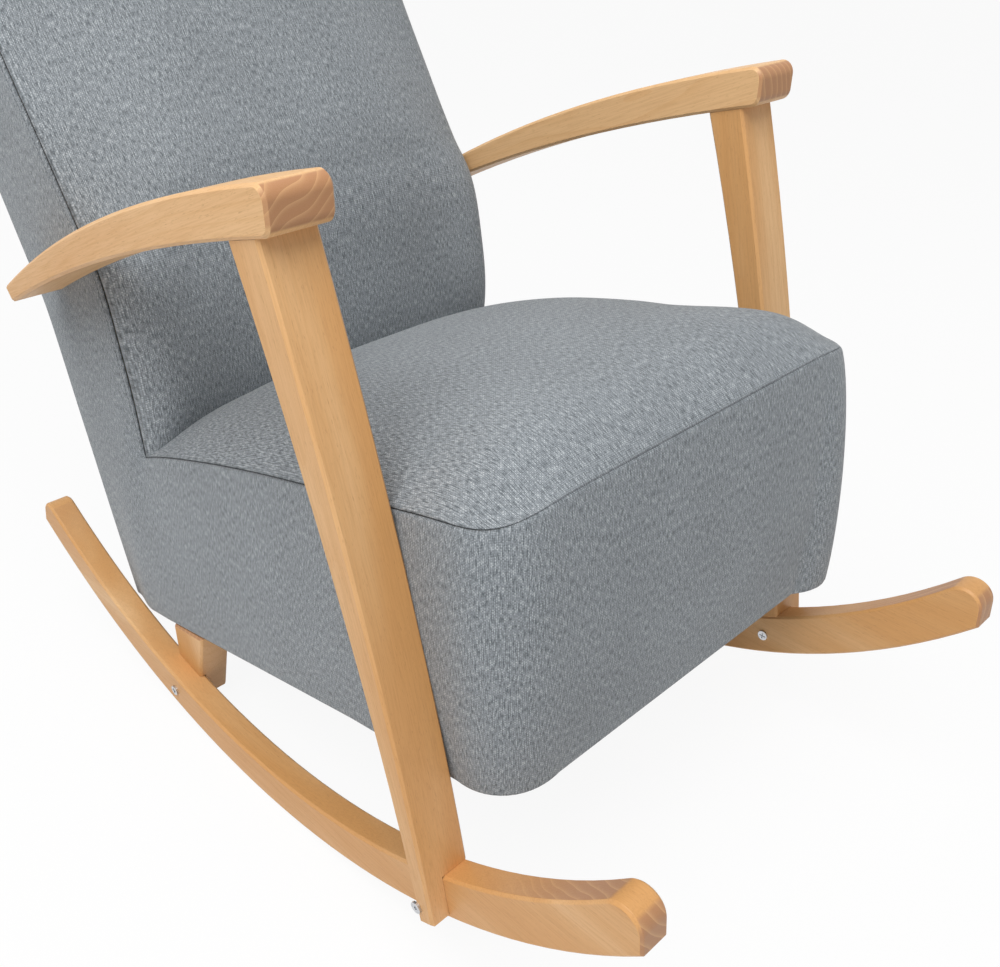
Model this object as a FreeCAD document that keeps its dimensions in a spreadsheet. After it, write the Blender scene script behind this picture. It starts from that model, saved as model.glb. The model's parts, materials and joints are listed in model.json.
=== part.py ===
import FreeCAD, Part
import math
import os
import re
import Sketcher
from FreeCAD import Placement, Rotation, Vector

# Upholstered rocking chair, millimetres and degrees.
# Design frame: x across the chair, y from front (-) to back (+), z up from the floor.
# y = 0 and z = 0 is the line where the two rockers touch the floor. Left is the sitter's left, +x.

SIZES = {
    # rockers
    "rocker_radius": 715, "rocker_depth": 47, "rocker_top_radius": 680, "rocker_top_back": 5,
    "rocker_thick": 30, "rocker_out": 2.8, "rocker_front_sweep": 47.5, "rocker_nose_sweep": 50.7,
    "rocker_rear_sweep": 38, "rocker_nose": 20, "rocker_tail": 16,
    # show-wood edges and fits
    "edge_ease": 2.5, "wood_gap": 0.2, "pad_gap": 0.4, "hole_gap": 0.2, "tool_over": 5,
    # front legs: one bowed, tapered board from the rocker up to the armrest
    "leg_width": 50, "leg_face_radius": 3915, "leg_face_y": 3540, "leg_face_z": -550,
    "leg_back_radius": 3478, "leg_back_y": 3111, "leg_back_z": -569,
    "leg_foot_front_y": -323, "leg_foot_rear_y": -305, "foot_lift": 5,
    # armrests: bowed top and underside
    "arm_out": 0.4, "arm_width": 55, "arm_front_y": -202, "arm_rear_top_y": 288, "arm_rear_low_y": 279,
    "arm_low_radius": 2321, "arm_low_y": -749, "arm_low_z": -1590,
    "arm_top_radius": 1735, "arm_top_y": -594, "arm_top_z": -989, "arm_nose": 11,
    # rear legs: short tapered posts, lapped on the inside of the rockers
    "post_in": 27.2, "post_width": 37, "post_low_front_y": 147, "post_low_rear_y": 183,
    "post_top_front_y": 113, "post_top_rear_y": 177,
    # upholstery outline seen from the side
    "base_rear_y": 292, "base_rear_z": 93, "base_front_y": -361, "base_front_z": 219,
    "edge_y": -349, "edge_z": 486, "crease_y": 180, "crease_z": 331, "bend_y": 195, "bend_z": 525,
    "top_front_y": 439, "top_front_z": 965, "top_rear_y": 556, "top_rear_z": 945,
    "waist_y": 345, "waist_z": 454, "uph_half": 242.2, "corner_round": 60,
    # pads
    "side_pad": 11.8, "front_pad": 27, "rear_pad": 4, "welt_drop": 15, "crown_run": 36, "crown_rise": 15,
    "lip_radius": 60, "crown_radius": 1400, "seat_back_run": 34, "seat_back_rise": 43, "seat_tail": 20,
    "core_thick": 75, "felt_thick": 5, "lumbar_out": 50, "lumbar_low": 70, "bulge": 26,
    "bulge_start": 0.1, "bulge_end": 0.88,
    "lumbar_radius": 150, "top_pad": 26, "front_board_round": 12, "pad_round": 28,
    # frame timber
    "board": 15, "rail_width": 26, "rail_height": 50, "front_rail": 40, "back_rail": 20,
    "lumbar_low_share": 0.72, "lumbar_high_share": 0.6, "crest_low_share": 0.17, "crest_high_share": 0.05,
    "spring_rail_height": 60, "block": 28, "block_drop": 54, "cover_thick": 1.2,
    # suspension
    "wire": 1.9, "spring_pitch": 24, "spring_width": 38, "spring_step": 84, "wire_drop": 6,
    "clip_width": 14, "clip_size": 9, "strap_width": 50, "strap_rise": 43,
    "strap_thick": 2.5, "strap_start": 0.06, "strap_pitch": 0.21,
    # fasteners
    "bolt": 3, "bolt_head": 6, "head_thick": 2.4, "socket": 2.0, "sleeve": 4.4, "sleeve_length": 20,
    "slot_long": 1.3, "slot_wide": 0.22, "recess_share": 0.33, "recess_over": 1, "tip_gap": 2,
    "dowel": 5, "dowel_depth": 24, "post_dowel": 4, "dowel_share": 0.28, "insert": 5.5, "insert_length": 18,
    "washer": 9, "washer_thick": 1.6, "screw": 2.2, "screw_head": 4.2, "screw_length": 50,
    "screw_high": 0.35, "screw_low": 0.75, "screw_share": 0.25,
    "leg_bolt_low_z": 272, "leg_bolt_high_z": 326, "arm_bolt_y": 264,
    "front_bolt_sweep": 26, "rear_bolt_sweep": 12.8,
    # resting pose: where the frame origin lies, and how far the chair leans forward on its rockers
    "origin_back": 14.4, "rest_lean": 0,
}

doc = FreeCAD.newDocument("RockingChair")
sheet = doc.addObject("Spreadsheet::Sheet", "Sizes")
for row, (alias, number) in enumerate(SIZES.items(), start=1):
    sheet.set(f"A{row}", alias)
    sheet.set(f"B{row}", str(number))
    sheet.setAlias(f"B{row}", alias)
doc.recompute()

NAMES = re.compile(r"\b(" + "|".join(SIZES) + r")\b")
parts = []


def ex(text):
    """Expression text in which each size name points at its sheet cell."""
    return NAMES.sub(r"Sizes.\1", str(text))


def val(text):
    """Present number of an expression."""
    number = sheet.evalExpression(ex(text))
    return float(getattr(number, "Value", number))


def bind(obj, **expressions):
    for prop, text in expressions.items():
        obj.setExpression(prop.replace("__", "."), ex(text))


def name_of(base, side):
    return f"{base}_{'left' if side > 0 else 'right'}"


# ---- outline points, each an expression pair (y, z) ------------------------------------------------

def on_line(first, second, y):
    """Point at y on the line through two points."""
    (y0, z0), (y1, z1) = first, second
    return (y, f"(({z0}) + (({z1}) - ({z0})) * (({y}) - ({y0})) / (({y1}) - ({y0})))")


def up(point, rise):
    return (point[0], f"({point[1]} + {rise})")


def along(point, run):
    return (f"({point[0]} + {run})", point[1])


def on_arc(radius, centre_y, centre_z, sweep):
    return (f"({centre_y} + {radius} * sin({sweep}))", f"({centre_z} - {radius} * cos({sweep}))")


def above(radius, centre_y, centre_z, y):
    """Point of a circle's upper side at y."""
    return (y, f"({centre_z} + sqrt(({radius}) ^ 2 - ({y} - ({centre_y})) ^ 2))")


def meet(first, second):
    """Crossing of two lines, each given by two points."""
    (ay, az), (by, bz) = first
    (cy, cz), (dy, dz) = second
    under = f"((({ay}) - ({by})) * (({cz}) - ({dz})) - (({az}) - ({bz})) * (({cy}) - ({dy})))"
    one = f"(({ay}) * ({bz}) - ({az}) * ({by}))"
    two = f"(({cy}) * ({dz}) - ({cz}) * ({dy}))"
    y = f"(({one} * (({cy}) - ({dy})) - (({ay}) - ({by})) * {two}) / {under})"
    z = f"(({one} * (({cz}) - ({dz})) - (({az}) - ({bz})) * {two}) / {under})"
    return (y, z)


def raised(line, rise):
    return tuple(up(point, rise) for point in line)


def shifted(line, run):
    return tuple(along(point, run) for point in line)


REAR_FOOT = ("base_rear_y", "base_rear_z")
FRONT_FOOT = ("base_front_y", "base_front_z")
EDGE = ("edge_y", "edge_z")
CREASE = ("crease_y", "crease_z")
BEND = ("bend_y", "bend_z")
TOP_FRONT = ("top_front_y", "top_front_z")
TOP_REAR = ("top_rear_y", "top_rear_z")
WAIST = ("waist_y", "waist_z")
CROWN = ("(edge_y + crown_run)", "(edge_z + crown_rise)")


# ---- builders ---------------------------------------------------------------------------------------

def arc_between(start, end, radius, left):
    """Arc from start to end; its centre lies left of that direction when left is true."""
    chord = end.sub(start)
    rise = math.sqrt(max(radius ** 2 - (chord.Length / 2) ** 2, 0))
    normal = Vector(-chord.y, chord.x, 0).normalize()
    centre = (start + end) * 0.5 + normal * (rise if left else -rise)
    first, last = (start, end) if left else (end, start)
    angles = [math.atan2(p.y - centre.y, p.x - centre.x) for p in (first, last)]
    if angles[1] < angles[0]:
        angles[1] += 2 * math.pi
    return Part.ArcOfCircle(Part.Circle(centre, Vector(0, 0, 1), radius), *angles)


def draw(sketch, path):
    """Closed outline. Each corner is (y, z) or (y, z, radius, left) when an arc leads to the next one."""
    points = [Vector(val(p[0]), val(p[1]), 0) for p in path]
    ends = []
    for i, corner in enumerate(path):
        start, end = points[i], points[(i + 1) % len(points)]
        if len(corner) == 2:
            ends.append((sketch.addGeometry(Part.LineSegment(start, end), False), 1, 2))
        else:
            curve = arc_between(start, end, val(corner[2]), corner[3])
            index = sketch.addGeometry(curve, False)
            ends.append((index, 1, 2) if corner[3] else (index, 2, 1))
            number = sketch.addConstraint(Sketcher.Constraint("Radius", index, val(corner[2])))
            sketch.setExpression(f"Constraints[{number}]", ex(corner[2]))
    for i, (index, first, last) in enumerate(ends):
        before = ends[i - 1]
        sketch.addConstraint(Sketcher.Constraint("Coincident", before[0], before[2], index, first))
        for kind, text, number in (("DistanceX", path[i][0], points[i].x),
                                   ("DistanceY", path[i][1], points[i].y)):
            place = sketch.addConstraint(Sketcher.Constraint(kind, -1, 1, index, first, number))
            sketch.setExpression(f"Constraints[{place}]", ex(text))


def plank(name, path, start, thick, side=1):
    """Body with a side-view outline, padded across the chair from |x| = start, outwards on its side."""
    body = doc.addObject("PartDesign::Body", name)
    sketch = body.newObject("Sketcher::SketchObject", name + "_outline")
    plane = [f for f in body.Origin.OriginFeatures if f.Role == "YZ_Plane"][0]
    sketch.AttachmentSupport = [(plane, "")]
    sketch.MapMode = "FlatFace"
    bind(sketch, AttachmentOffset__Base__z=f"{side} * ({start})")
    draw(sketch, path)
    pad = body.newObject("PartDesign::Pad", name + "_pad")
    pad.Profile = sketch
    pad.Reversed = side < 0
    bind(pad, Length=thick)
    body.Tip = pad
    doc.recompute()
    return body


def slab(name, path, half):
    """Body with a side-view outline, centred on x = 0."""
    body = plank(name, path, 0, f"2 * ({half})")
    body.Tip.Midplane = True
    doc.recompute()
    return body


def rod(name, radius, length, x, y, z, axis="x", lean="0"):
    """Cylinder from its base point along x, y or z; lean turns it about x."""
    pin = doc.addObject("Part::Cylinder", name)
    turn = {"x": Rotation(Vector(0, 1, 0), 90), "-x": Rotation(Vector(0, 1, 0), -90),
            "z": Rotation(Vector(1, 0, 0), val(lean))}[axis]
    pin.Placement = Placement(Vector(0, 0, 0), turn)
    bind(pin, Radius=radius, Height=length, Placement__Base__x=x, Placement__Base__y=y, Placement__Base__z=z)
    return pin


def brick(name, dx, dy, dz, x, y, z, lean="0"):
    """Box from its low corner, turned about x by lean."""
    box = doc.addObject("Part::Box", name)
    box.Placement = Placement(Vector(0, 0, 0), Rotation(Vector(1, 0, 0), val(lean)))
    bind(box, Length=dx, Width=dy, Height=dz, Placement__Base__x=x, Placement__Base__y=y, Placement__Base__z=z)
    return box


def together(name, shapes):
    group = doc.addObject("Part::Compound", name)
    group.Links = shapes
    return group


def fuse(name, shapes):
    joined = doc.addObject("Part::MultiFuse", name)
    joined.Shapes = shapes
    doc.recompute()
    return joined


def cut(name, base, tools):
    """Base less its tools. A cut that takes nothing off is an error."""
    doc.recompute()
    before = base.Shape.Volume
    for i, tool in enumerate(tools):
        result = doc.addObject("Part::Cut", f"{name}_cut{i}")
        result.Base, result.Tool = base, tool
        base = result
    doc.recompute()
    if base.Shape.Volume > before - 1:
        raise ValueError(f"{name}: its cuts take nothing off")
    return base


def common(name, base, tool):
    result = doc.addObject("Part::Common", name)
    result.Base, result.Tool = base, tool
    doc.recompute()
    return result


def dress(kind, name, base, size, wanted):
    """Base with each edge that wanted(edge) accepts rounded off or chamfered."""
    doc.recompute()
    result = doc.addObject(kind, name)
    result.Base = base
    number = val(size)
    result.Edges = [(i, number, number) for i, e in enumerate(base.Shape.Edges, start=1) if wanted(e)]
    doc.recompute()
    return result


def rounded(name, base, size, wanted):
    return dress("Part::Fillet", name, base, size, wanted)


def eased(name, base, wanted):
    """Base with the sharp edges that wanted(edge) accepts taken off by a small chamfer."""
    return dress("Part::Chamfer", name, base, "edge_ease", wanted)


def spans_x(edge):
    """True for an edge that runs straight across the chair."""
    ends = [v.Point for v in edge.Vertexes]
    return len(ends) == 2 and abs(ends[0].x - ends[1].x) > 0.9 * edge.Length


def keep(obj, label):
    """Finished sub-part: named, and moved to the resting pose in the frame of the whole chair."""
    obj.Label = label
    obj.Placement = Placement(Vector(0, 0, 0), Rotation(Vector(1, 0, 0), val("rest_lean")))
    bind(obj, Placement__Base__y="rocker_radius * sin(rest_lean) - origin_back",
         Placement__Base__z="rocker_radius * (1 - cos(rest_lean))")
    parts.append(obj)


def spans_x_near(y, z, radius="1"):
    """Test for the edge across the chair that passes near (y, z)."""
    spot = Vector(0, val(y), val(z))
    def wanted(edge):
        middle = edge.CenterOfMass
        return spans_x(edge) and Vector(0, middle.y, middle.z).sub(spot).Length < val(radius)
    return wanted


def long_edge(edge):
    return not spans_x(edge)


# ---- rockers -----------------------------------------------------------------------------------------

TOP_Z = "(rocker_depth + rocker_top_radius)"


def rocker_low(sweep):
    return on_arc("rocker_radius", "0", "rocker_radius", sweep)


def rocker_high(sweep):
    return on_arc("rocker_top_radius", "rocker_top_back", TOP_Z, sweep)


def rocker_floor(y, lift):
    """Point at y on a curve that runs `lift` above the rocker's underside."""
    return (y, f"(rocker_radius - sqrt((rocker_radius - {lift}) ^ 2 - ({y}) ^ 2))")


def rocker_mid(sweep):
    low, high = rocker_low(sweep), rocker_high(sweep)
    return (f"(({low[0]} + {high[0]}) / 2)", f"(({low[1]} + {high[1]}) / 2)")


def rocker_path():
    front, rear = rocker_low("(0 - rocker_front_sweep)"), rocker_low("rocker_rear_sweep")
    nose, tail = rocker_high("(0 - rocker_nose_sweep)"), rocker_high("rocker_rear_sweep")
    return [(*front, "rocker_radius", True), rear, (*tail, "rocker_top_radius", False), nose]


def under_top_curve(name, side, start, thick):
    """Everything below the rocker's upper curve, as a tool that forms a lap's shoulder."""
    nose, tail = rocker_high("(0 - rocker_nose_sweep)"), rocker_high("rocker_rear_sweep")
    deep = "(0 - rocker_depth)"
    path = [(nose[0], deep), (tail[0], deep), (*tail, "rocker_top_radius", False), nose]
    return plank(name, [(p[0], f"({p[1]} + wood_gap)", *p[2:]) for p in path], start, thick, side)


FRONT_BOLT = rocker_mid("(0 - front_bolt_sweep)")
REAR_BOLT = rocker_mid("rear_bolt_sweep")


def pin(name, radius, near, far, y, z, side):
    """Cylinder across the chair from |x| = near to |x| = far."""
    return rod(name, radius, f"({far}) - ({near})", f"{side} * ({near})", y, z, "x" if side > 0 else "-x")


def bar(name, near, far, dy, dz, y, z, side):
    """Box from |x| = near to |x| = far, centred on (y, z)."""
    low_x = near if side > 0 else f"0 - ({far})"
    return brick(name, f"({far}) - ({near})", dy, dz, low_x, f"({y}) - ({dy}) / 2", f"({z}) - ({dz}) / 2")


def hexagon(name, radius, near, far, y, z, side):
    prism = doc.addObject("Part::Prism", name)
    prism.Polygon = 6
    prism.Placement = Placement(Vector(0, 0, 0), Rotation(Vector(0, 1, 0), 90 * side))
    bind(prism, Circumradius=radius, Height=f"({far}) - ({near})", Placement__Base__x=f"{side} * ({near})",
         Placement__Base__y=y, Placement__Base__z=z)
    return prism


def cross_slot(name, near, far, y, z, side):
    wide, narrow = "bolt_head * slot_long", "bolt_head * slot_wide"
    return [bar(f"{name}_slot_a", near, far, wide, narrow, y, z, side),
            bar(f"{name}_slot_b", near, far, narrow, wide, y, z, side)]


def through_bolt(name, outer, inner, spot, side, hex_head):
    """Bolt from outside with a sleeve nut from inside, through wood from |x| = inner to |x| = outer."""
    y, z = spot
    floor = f"{outer} + head_thick * recess_share"
    proud = f"{outer} + head_thick + recess_over"
    shank = pin(f"{name}_shank", "bolt", f"{inner} + sleeve_length / 2", outer, y, z, side)
    head = pin(f"{name}_head", "bolt_head", outer, f"{outer} + head_thick", y, z, side)
    if hex_head:
        recess = [hexagon(f"{name}_socket", "socket", floor, proud, y, z, side)]
    else:
        recess = cross_slot(f"{name}_head", floor, proud, y, z, side)
    bolt = cut(f"{name}_bolt", fuse(f"{name}_blank", [shank, head]), recess)
    end = f"{inner} + sleeve_length"
    barrel = pin(f"{name}_barrel", "sleeve", inner, end, y, z, side)
    cap = pin(f"{name}_cap", "bolt_head", f"{inner} - head_thick", inner, y, z, side)
    bore = pin(f"{name}_bore", "bolt + hole_gap", f"{inner} + sleeve_length / 2 - hole_gap",
               f"{end} + recess_over", y, z, side)
    slot = cross_slot(f"{name}_cap", f"{inner} - head_thick - recess_over",
                      f"{inner} - head_thick * recess_share", y, z, side)
    nut = cut(f"{name}_nut", fuse(f"{name}_nut_blank", [barrel, cap]), [bore] + slot)
    wide = pin(f"{name}_wide", "sleeve + hole_gap", f"{inner} - recess_over", f"{end} + recess_over",
               y, z, side)
    narrow = pin(f"{name}_narrow", "bolt + hole_gap", inner, f"{outer} + recess_over", y, z, side)
    return bolt, nut, [wide, narrow]


ROCKER_INNER = "(uph_half + rocker_out)"
ARM_INNER = "(uph_half + arm_out)"
POST_INNER = "(uph_half - post_in)"
LEG_OUTER = f"({ROCKER_INNER} + leg_width)"
ROCKER_OUTER = f"({ROCKER_INNER} + rocker_thick)"
BOARD_OUTER = "(uph_half - side_pad - pad_gap)"
BOARD_INNER = "(uph_half - side_pad - pad_gap - board)"
RAIL_INNER = "(uph_half - side_pad - pad_gap - rail_width)"

# lines of the upholstery and of the frame inside it, seen from the side
BOTTOM = (REAR_FOOT, FRONT_FOOT)
FRONT = (FRONT_FOOT, EDGE)
SEAM = (EDGE, CREASE)
BACK_LOW = (CREASE, BEND)
BACK_HIGH = (BEND, TOP_FRONT)
TOP = (TOP_FRONT, TOP_REAR)
REAR_HIGH = (TOP_REAR, WAIST)
REAR_LOW = (WAIST, REAR_FOOT)
RAIL_TOP = raised(BOTTOM, "rail_height")
FRONT_FACE = shifted(FRONT, "(front_pad + pad_gap)")
FRONT_IN = shifted(FRONT, "(front_pad + pad_gap + board)")
SPRINGS = raised(SEAM, "(0 - welt_drop - core_thick - felt_thick)")
CORE_TOP = raised(SEAM, "(0 - welt_drop)")
STILE_RUN = "(welt_drop + strap_thick + pad_gap)"
STILE_LOW = shifted(BACK_LOW, STILE_RUN)
STILE_HIGH = shifted(BACK_HIGH, STILE_RUN)
FRAME_TOP = raised(TOP, "(0 - top_pad)")
REAR_IN_HIGH = shifted(REAR_HIGH, "(0 - rear_pad - pad_gap)")
REAR_IN_LOW = shifted(REAR_LOW, "(0 - rear_pad - pad_gap)")


def leg_point(face, y_or_z):
    """Point of the leg's front or back curve at a height."""
    return (f"({face}_y - sqrt({face}_radius ^ 2 - (({y_or_z}) - ({face}_z)) ^ 2))", y_or_z)


def leg_mid(z):
    front, back = leg_point("leg_face", z), leg_point("leg_back", z)
    return (f"(({front[0]} + {back[0]}) / 2)", z)


def arm_low(y):
    return above("arm_low_radius", "arm_low_y", "arm_low_z", y)


def arm_top(y):
    return above("arm_top_radius", "arm_top_y", "arm_top_z", y)


def arm_mid(y):
    return (y, f"(({arm_low(y)[1]} + {arm_top(y)[1]}) / 2)")


ARM_SEAT_Z = "(arm_low_z + sqrt(arm_low_radius ^ 2 - (arm_front_y + bulge - arm_low_y) ^ 2))"
DOWEL_X = (f"({ROCKER_INNER} + leg_width * dowel_share)",
           f"({ROCKER_INNER} + leg_width * (1 - dowel_share))")
POST_DOWEL_Y = ("(post_top_front_y * (1 - dowel_share) + post_top_rear_y * dowel_share)",
                "(post_top_front_y * dowel_share + post_top_rear_y * (1 - dowel_share))")
POST_DOWEL_X = f"(({POST_INNER} + {BOARD_OUTER}) / 2)"
LEG_BOLT_Z = ("leg_bolt_low_z", "leg_bolt_high_z")


def inner_bolt(name, spot, side, seat, reach):
    """Bolt with a washer, from the inside of the side board into an insert nut in show wood at |x| = seat."""
    y, z = spot
    start = f"({BOARD_INNER} - washer_thick)"
    shank = pin(f"{name}_shank", "bolt", start, f"{seat} + {reach} - tip_gap", y, z, side)
    head = pin(f"{name}_head", "bolt_head", f"{start} - head_thick", start, y, z, side)
    recess = hexagon(f"{name}_socket", "socket", f"{start} - head_thick - recess_over",
                     f"{start} - head_thick * recess_share", y, z, side)
    bolt = cut(f"{name}_bolt", fuse(f"{name}_blank", [shank, head]), [recess])
    disc = pin(f"{name}_disc", "washer", start, BOARD_INNER, y, z, side)
    eye = pin(f"{name}_eye", "bolt + hole_gap", f"{start} - recess_over", seat, y, z, side)
    washer = cut(f"{name}_washer", disc, [eye])
    body = pin(f"{name}_insert_blank", "insert", seat, f"{seat} + insert_length", y, z, side)
    insert = cut(f"{name}_insert", body, [pin(f"{name}_thread", "bolt + hole_gap", f"{seat} - recess_over",
                                              f"{seat} + insert_length + recess_over", y, z, side)])
    clear = pin(f"{name}_clear", "bolt + hole_gap", f"{start} - recess_over", f"{seat} + recess_over",
                y, z, side)
    pocket = pin(f"{name}_pocket", "insert + hole_gap / 2", f"{seat} - recess_over",
                 f"{seat} + insert_length + hole_gap", y, z, side)
    return bolt, washer, insert, clear, pocket


def dowel_pin(name, radius, x, spot, side, gap="0"):
    """Upright dowel centred on a joint, or its hole when gap is given."""
    y, z = spot
    return rod(name, f"{radius} + {gap}", f"2 * (dowel_depth + {gap})", f"{side} * ({x})", y,
               f"({z}) - dowel_depth - {gap}", "z")


def screw(name, near, far, spot, side, gap="0"):
    """Countersunk wood screw driven inwards from |x| = far, or its hole when gap is given."""
    y, z = spot
    shank = pin(f"{name}_shank", f"screw + {gap}", near, far, y, z, side)
    head = doc.addObject("Part::Cone", f"{name}_head")
    head.Placement = Placement(Vector(0, 0, 0), Rotation(Vector(0, 1, 0), -90 * side))
    bind(head, Radius1=f"screw_head + {gap}", Radius2=f"screw + {gap}", Height="screw_head",
         Placement__Base__x=f"{side} * ({far})", Placement__Base__y=y, Placement__Base__z=z)
    return fuse(name, [shank, head])


def between(line, share):
    """Point a share of the way along a line."""
    (ay, az), (by, bz) = line
    return (f"(({ay}) + (({by}) - ({ay})) * ({share}))", f"(({az}) + (({bz}) - ({az})) * ({share}))")


def beside(point, run, rise):
    return up(along(point, run), rise)


SPRING_RAIL_FRONT = shifted(STILE_LOW, "(0 - rail_width)")


def screw_spots():
    """Where screws pass through the side board into the ends of the cross rails."""
    spring_rail = meet(SPRINGS, STILE_LOW)
    ends = [beside(spring_rail, "(0 - rail_width / 2)", f"(0 - spring_rail_height * {share})")
            for share in ("screw_high", "screw_low")]
    return ends + [between(middle, share) for middle in (LUMBAR_MID, CREST_MID)
                   for share in ("screw_share", "(1 - screw_share)")]


def cross_rail_path(share_low, share_high):
    """Upright rail of board thickness that stands on the back's rear line between two shares of its height."""
    inner = shifted(REAR_IN_HIGH, "(0 - back_rail)")
    return [between(REAR_IN_HIGH, share_low), between(REAR_IN_HIGH, share_high), between(inner, share_high),
            between(inner, share_low)]


LUMBAR_SHARES = ("lumbar_low_share", "lumbar_high_share")
CREST_SHARES = ("crest_low_share", "crest_high_share")
REAR_MID = shifted(REAR_IN_HIGH, "(0 - back_rail / 2)")
LUMBAR_MID = (between(REAR_MID, LUMBAR_SHARES[0]), between(REAR_MID, LUMBAR_SHARES[1]))
CREST_MID = (between(REAR_MID, CREST_SHARES[0]), between(REAR_MID, CREST_SHARES[1]))


# ---- show wood and its fasteners, one side at a time --------------------------------------------------

fasteners = {}


def stock(group, *shapes):
    fasteners.setdefault(group, []).extend(shapes)


side_holes, screw_holes = {}, {}
for side in (1, -1):
    tag = name_of("", side)
    front_bolt, front_nut, front_holes = through_bolt(f"front{tag}", LEG_OUTER, ROCKER_INNER,
                                                      FRONT_BOLT, side, True)
    rear_bolt, rear_nut, rear_holes = through_bolt(f"rear{tag}", ROCKER_OUTER, POST_INNER,
                                                   REAR_BOLT, side, False)
    stock("front_rocker_bolts", front_bolt)
    stock("front_sleeve_nuts", front_nut)
    stock("rear_rocker_bolts", rear_bolt)
    stock("rear_sleeve_nuts", rear_nut)

    # rocker: sawn from one board, both ends rounded on top
    nose, tail = rocker_high("(0 - rocker_nose_sweep)"), rocker_high("rocker_rear_sweep")
    blank = plank(f"rocker{tag}_blank", rocker_path(), ROCKER_INNER, "rocker_thick", side)
    blank = rounded(f"rocker{tag}_nose", blank, "rocker_nose", spans_x_near(*nose))
    blank = rounded(f"rocker{tag}_tail", blank, "rocker_tail", spans_x_near(*tail))
    blank = eased(f"rocker{tag}_edges", blank, long_edge)
    keep(cut(f"rocker{tag}_body", blank, front_holes + rear_holes), name_of("rocker", side))

    # front leg: shoulder on the rocker, outer cheek lapped over its outside face
    foot = [rocker_floor(y, "foot_lift") for y in ("leg_foot_front_y", "leg_foot_rear_y")]
    top_z = ARM_SEAT_Z
    head_points = [leg_point("leg_back", f"({top_z} + bulge)"), leg_point("leg_face", f"({top_z} + bulge)")]
    path = [foot[0], (*foot[1], "leg_back_radius", False), head_points[0],
            (*head_points[1], "leg_face_radius", True)]
    blank = plank(f"leg{tag}_blank", path, ROCKER_INNER, "leg_width", side)
    blank = eased(f"leg{tag}_edges", blank, long_edge)
    notch = under_top_curve(f"leg{tag}_notch", side, f"{ROCKER_INNER} - tool_over",
                            "rocker_thick + tool_over + wood_gap")
    ends = [arm_low("arm_front_y * 2"), arm_low("arm_rear_low_y")]
    over = [(*up(ends[0], "(0 - wood_gap)"), "arm_low_radius", False), up(ends[1], "(0 - wood_gap)"),
            (ends[1][0], "arm_low_radius"), (ends[0][0], "arm_low_radius")]
    above_arm = plank(f"leg{tag}_above", over, f"{ROCKER_INNER} - tool_over",
                      "leg_width + 2 * tool_over", side)
    leg_top = leg_mid(top_z)
    dowels = [dowel_pin(f"arm_dowel{tag}_{i}", "dowel", x, leg_top, side) for i, x in enumerate(DOWEL_X)]
    dowel_holes = [dowel_pin(f"arm_dowel_hole{tag}_{i}", "dowel", x, leg_top, side, "hole_gap")
                   for i, x in enumerate(DOWEL_X)]
    stock("arm_dowels", *dowels)
    leg_bolts = [inner_bolt(f"leg_bolt{tag}_{i}", leg_mid(z), side, ROCKER_INNER, "insert_length")
                 for i, z in enumerate(LEG_BOLT_Z)]
    arm_bolt = inner_bolt(f"arm_bolt{tag}", arm_mid("arm_bolt_y"), side, ARM_INNER, "insert_length")
    for kind, bolts in (("leg", leg_bolts), ("arm", [arm_bolt])):
        stock(f"{kind}_bolts", *[b[0] for b in bolts])
        stock("bolt_washers", *[b[1] for b in bolts])
        stock(f"{kind}_insert_nuts", *[b[2] for b in bolts])
    tools = [notch, above_arm] + front_holes + dowel_holes + [b[4] for b in leg_bolts]
    keep(cut(f"leg{tag}_body", blank, tools), name_of("front_leg", side))
    side_holes[side] = [b[3] for b in leg_bolts] + [arm_bolt[3]]

    # armrest: bowed bar on the leg's top, its thin rear end bolted to the back's side
    path = [(*arm_low("arm_front_y"), "arm_low_radius", False), arm_low("arm_rear_low_y"),
            (*arm_top("arm_rear_top_y"), "arm_top_radius", True), arm_top("arm_front_y")]
    blank = plank(f"arm{tag}_blank", path, ARM_INNER, "arm_width", side)
    for i, spot in enumerate((arm_top("arm_front_y"), arm_low("arm_front_y"))):
        blank = rounded(f"arm{tag}_nose{i}", blank, "arm_nose", spans_x_near(*spot))
    blank = eased(f"arm{tag}_edges", blank, long_edge)
    keep(cut(f"arm{tag}_body", blank, dowel_holes + [arm_bolt[4]]), name_of("armrest", side))

    # rear leg: shoulder on the rocker, inner cheek lapped down its inside face
    post = [rocker_floor("post_low_front_y", "foot_lift"), rocker_floor("post_low_rear_y", "foot_lift"),
            on_line(*BOTTOM, "post_top_rear_y"), on_line(*BOTTOM, "post_top_front_y")]
    blank = plank(f"post{tag}_blank", post, POST_INNER, "post_width", side)
    blank = eased(f"post{tag}_edges", blank, long_edge)
    notch = under_top_curve(f"post{tag}_notch", side, f"{ROCKER_INNER} - wood_gap", "rocker_thick")
    spots = [on_line(*BOTTOM, y) for y in POST_DOWEL_Y]
    stock("rear_leg_dowels", *[dowel_pin(f"post_dowel{tag}_{i}", "post_dowel", POST_DOWEL_X, p, side)
                               for i, p in enumerate(spots)])
    post_holes = [dowel_pin(f"post_dowel_hole{tag}_{i}", "post_dowel", POST_DOWEL_X, p, side, "hole_gap")
                  for i, p in enumerate(spots)]
    keep(cut(f"post{tag}_body", blank, [notch] + rear_holes + post_holes), name_of("rear_leg", side))

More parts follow.
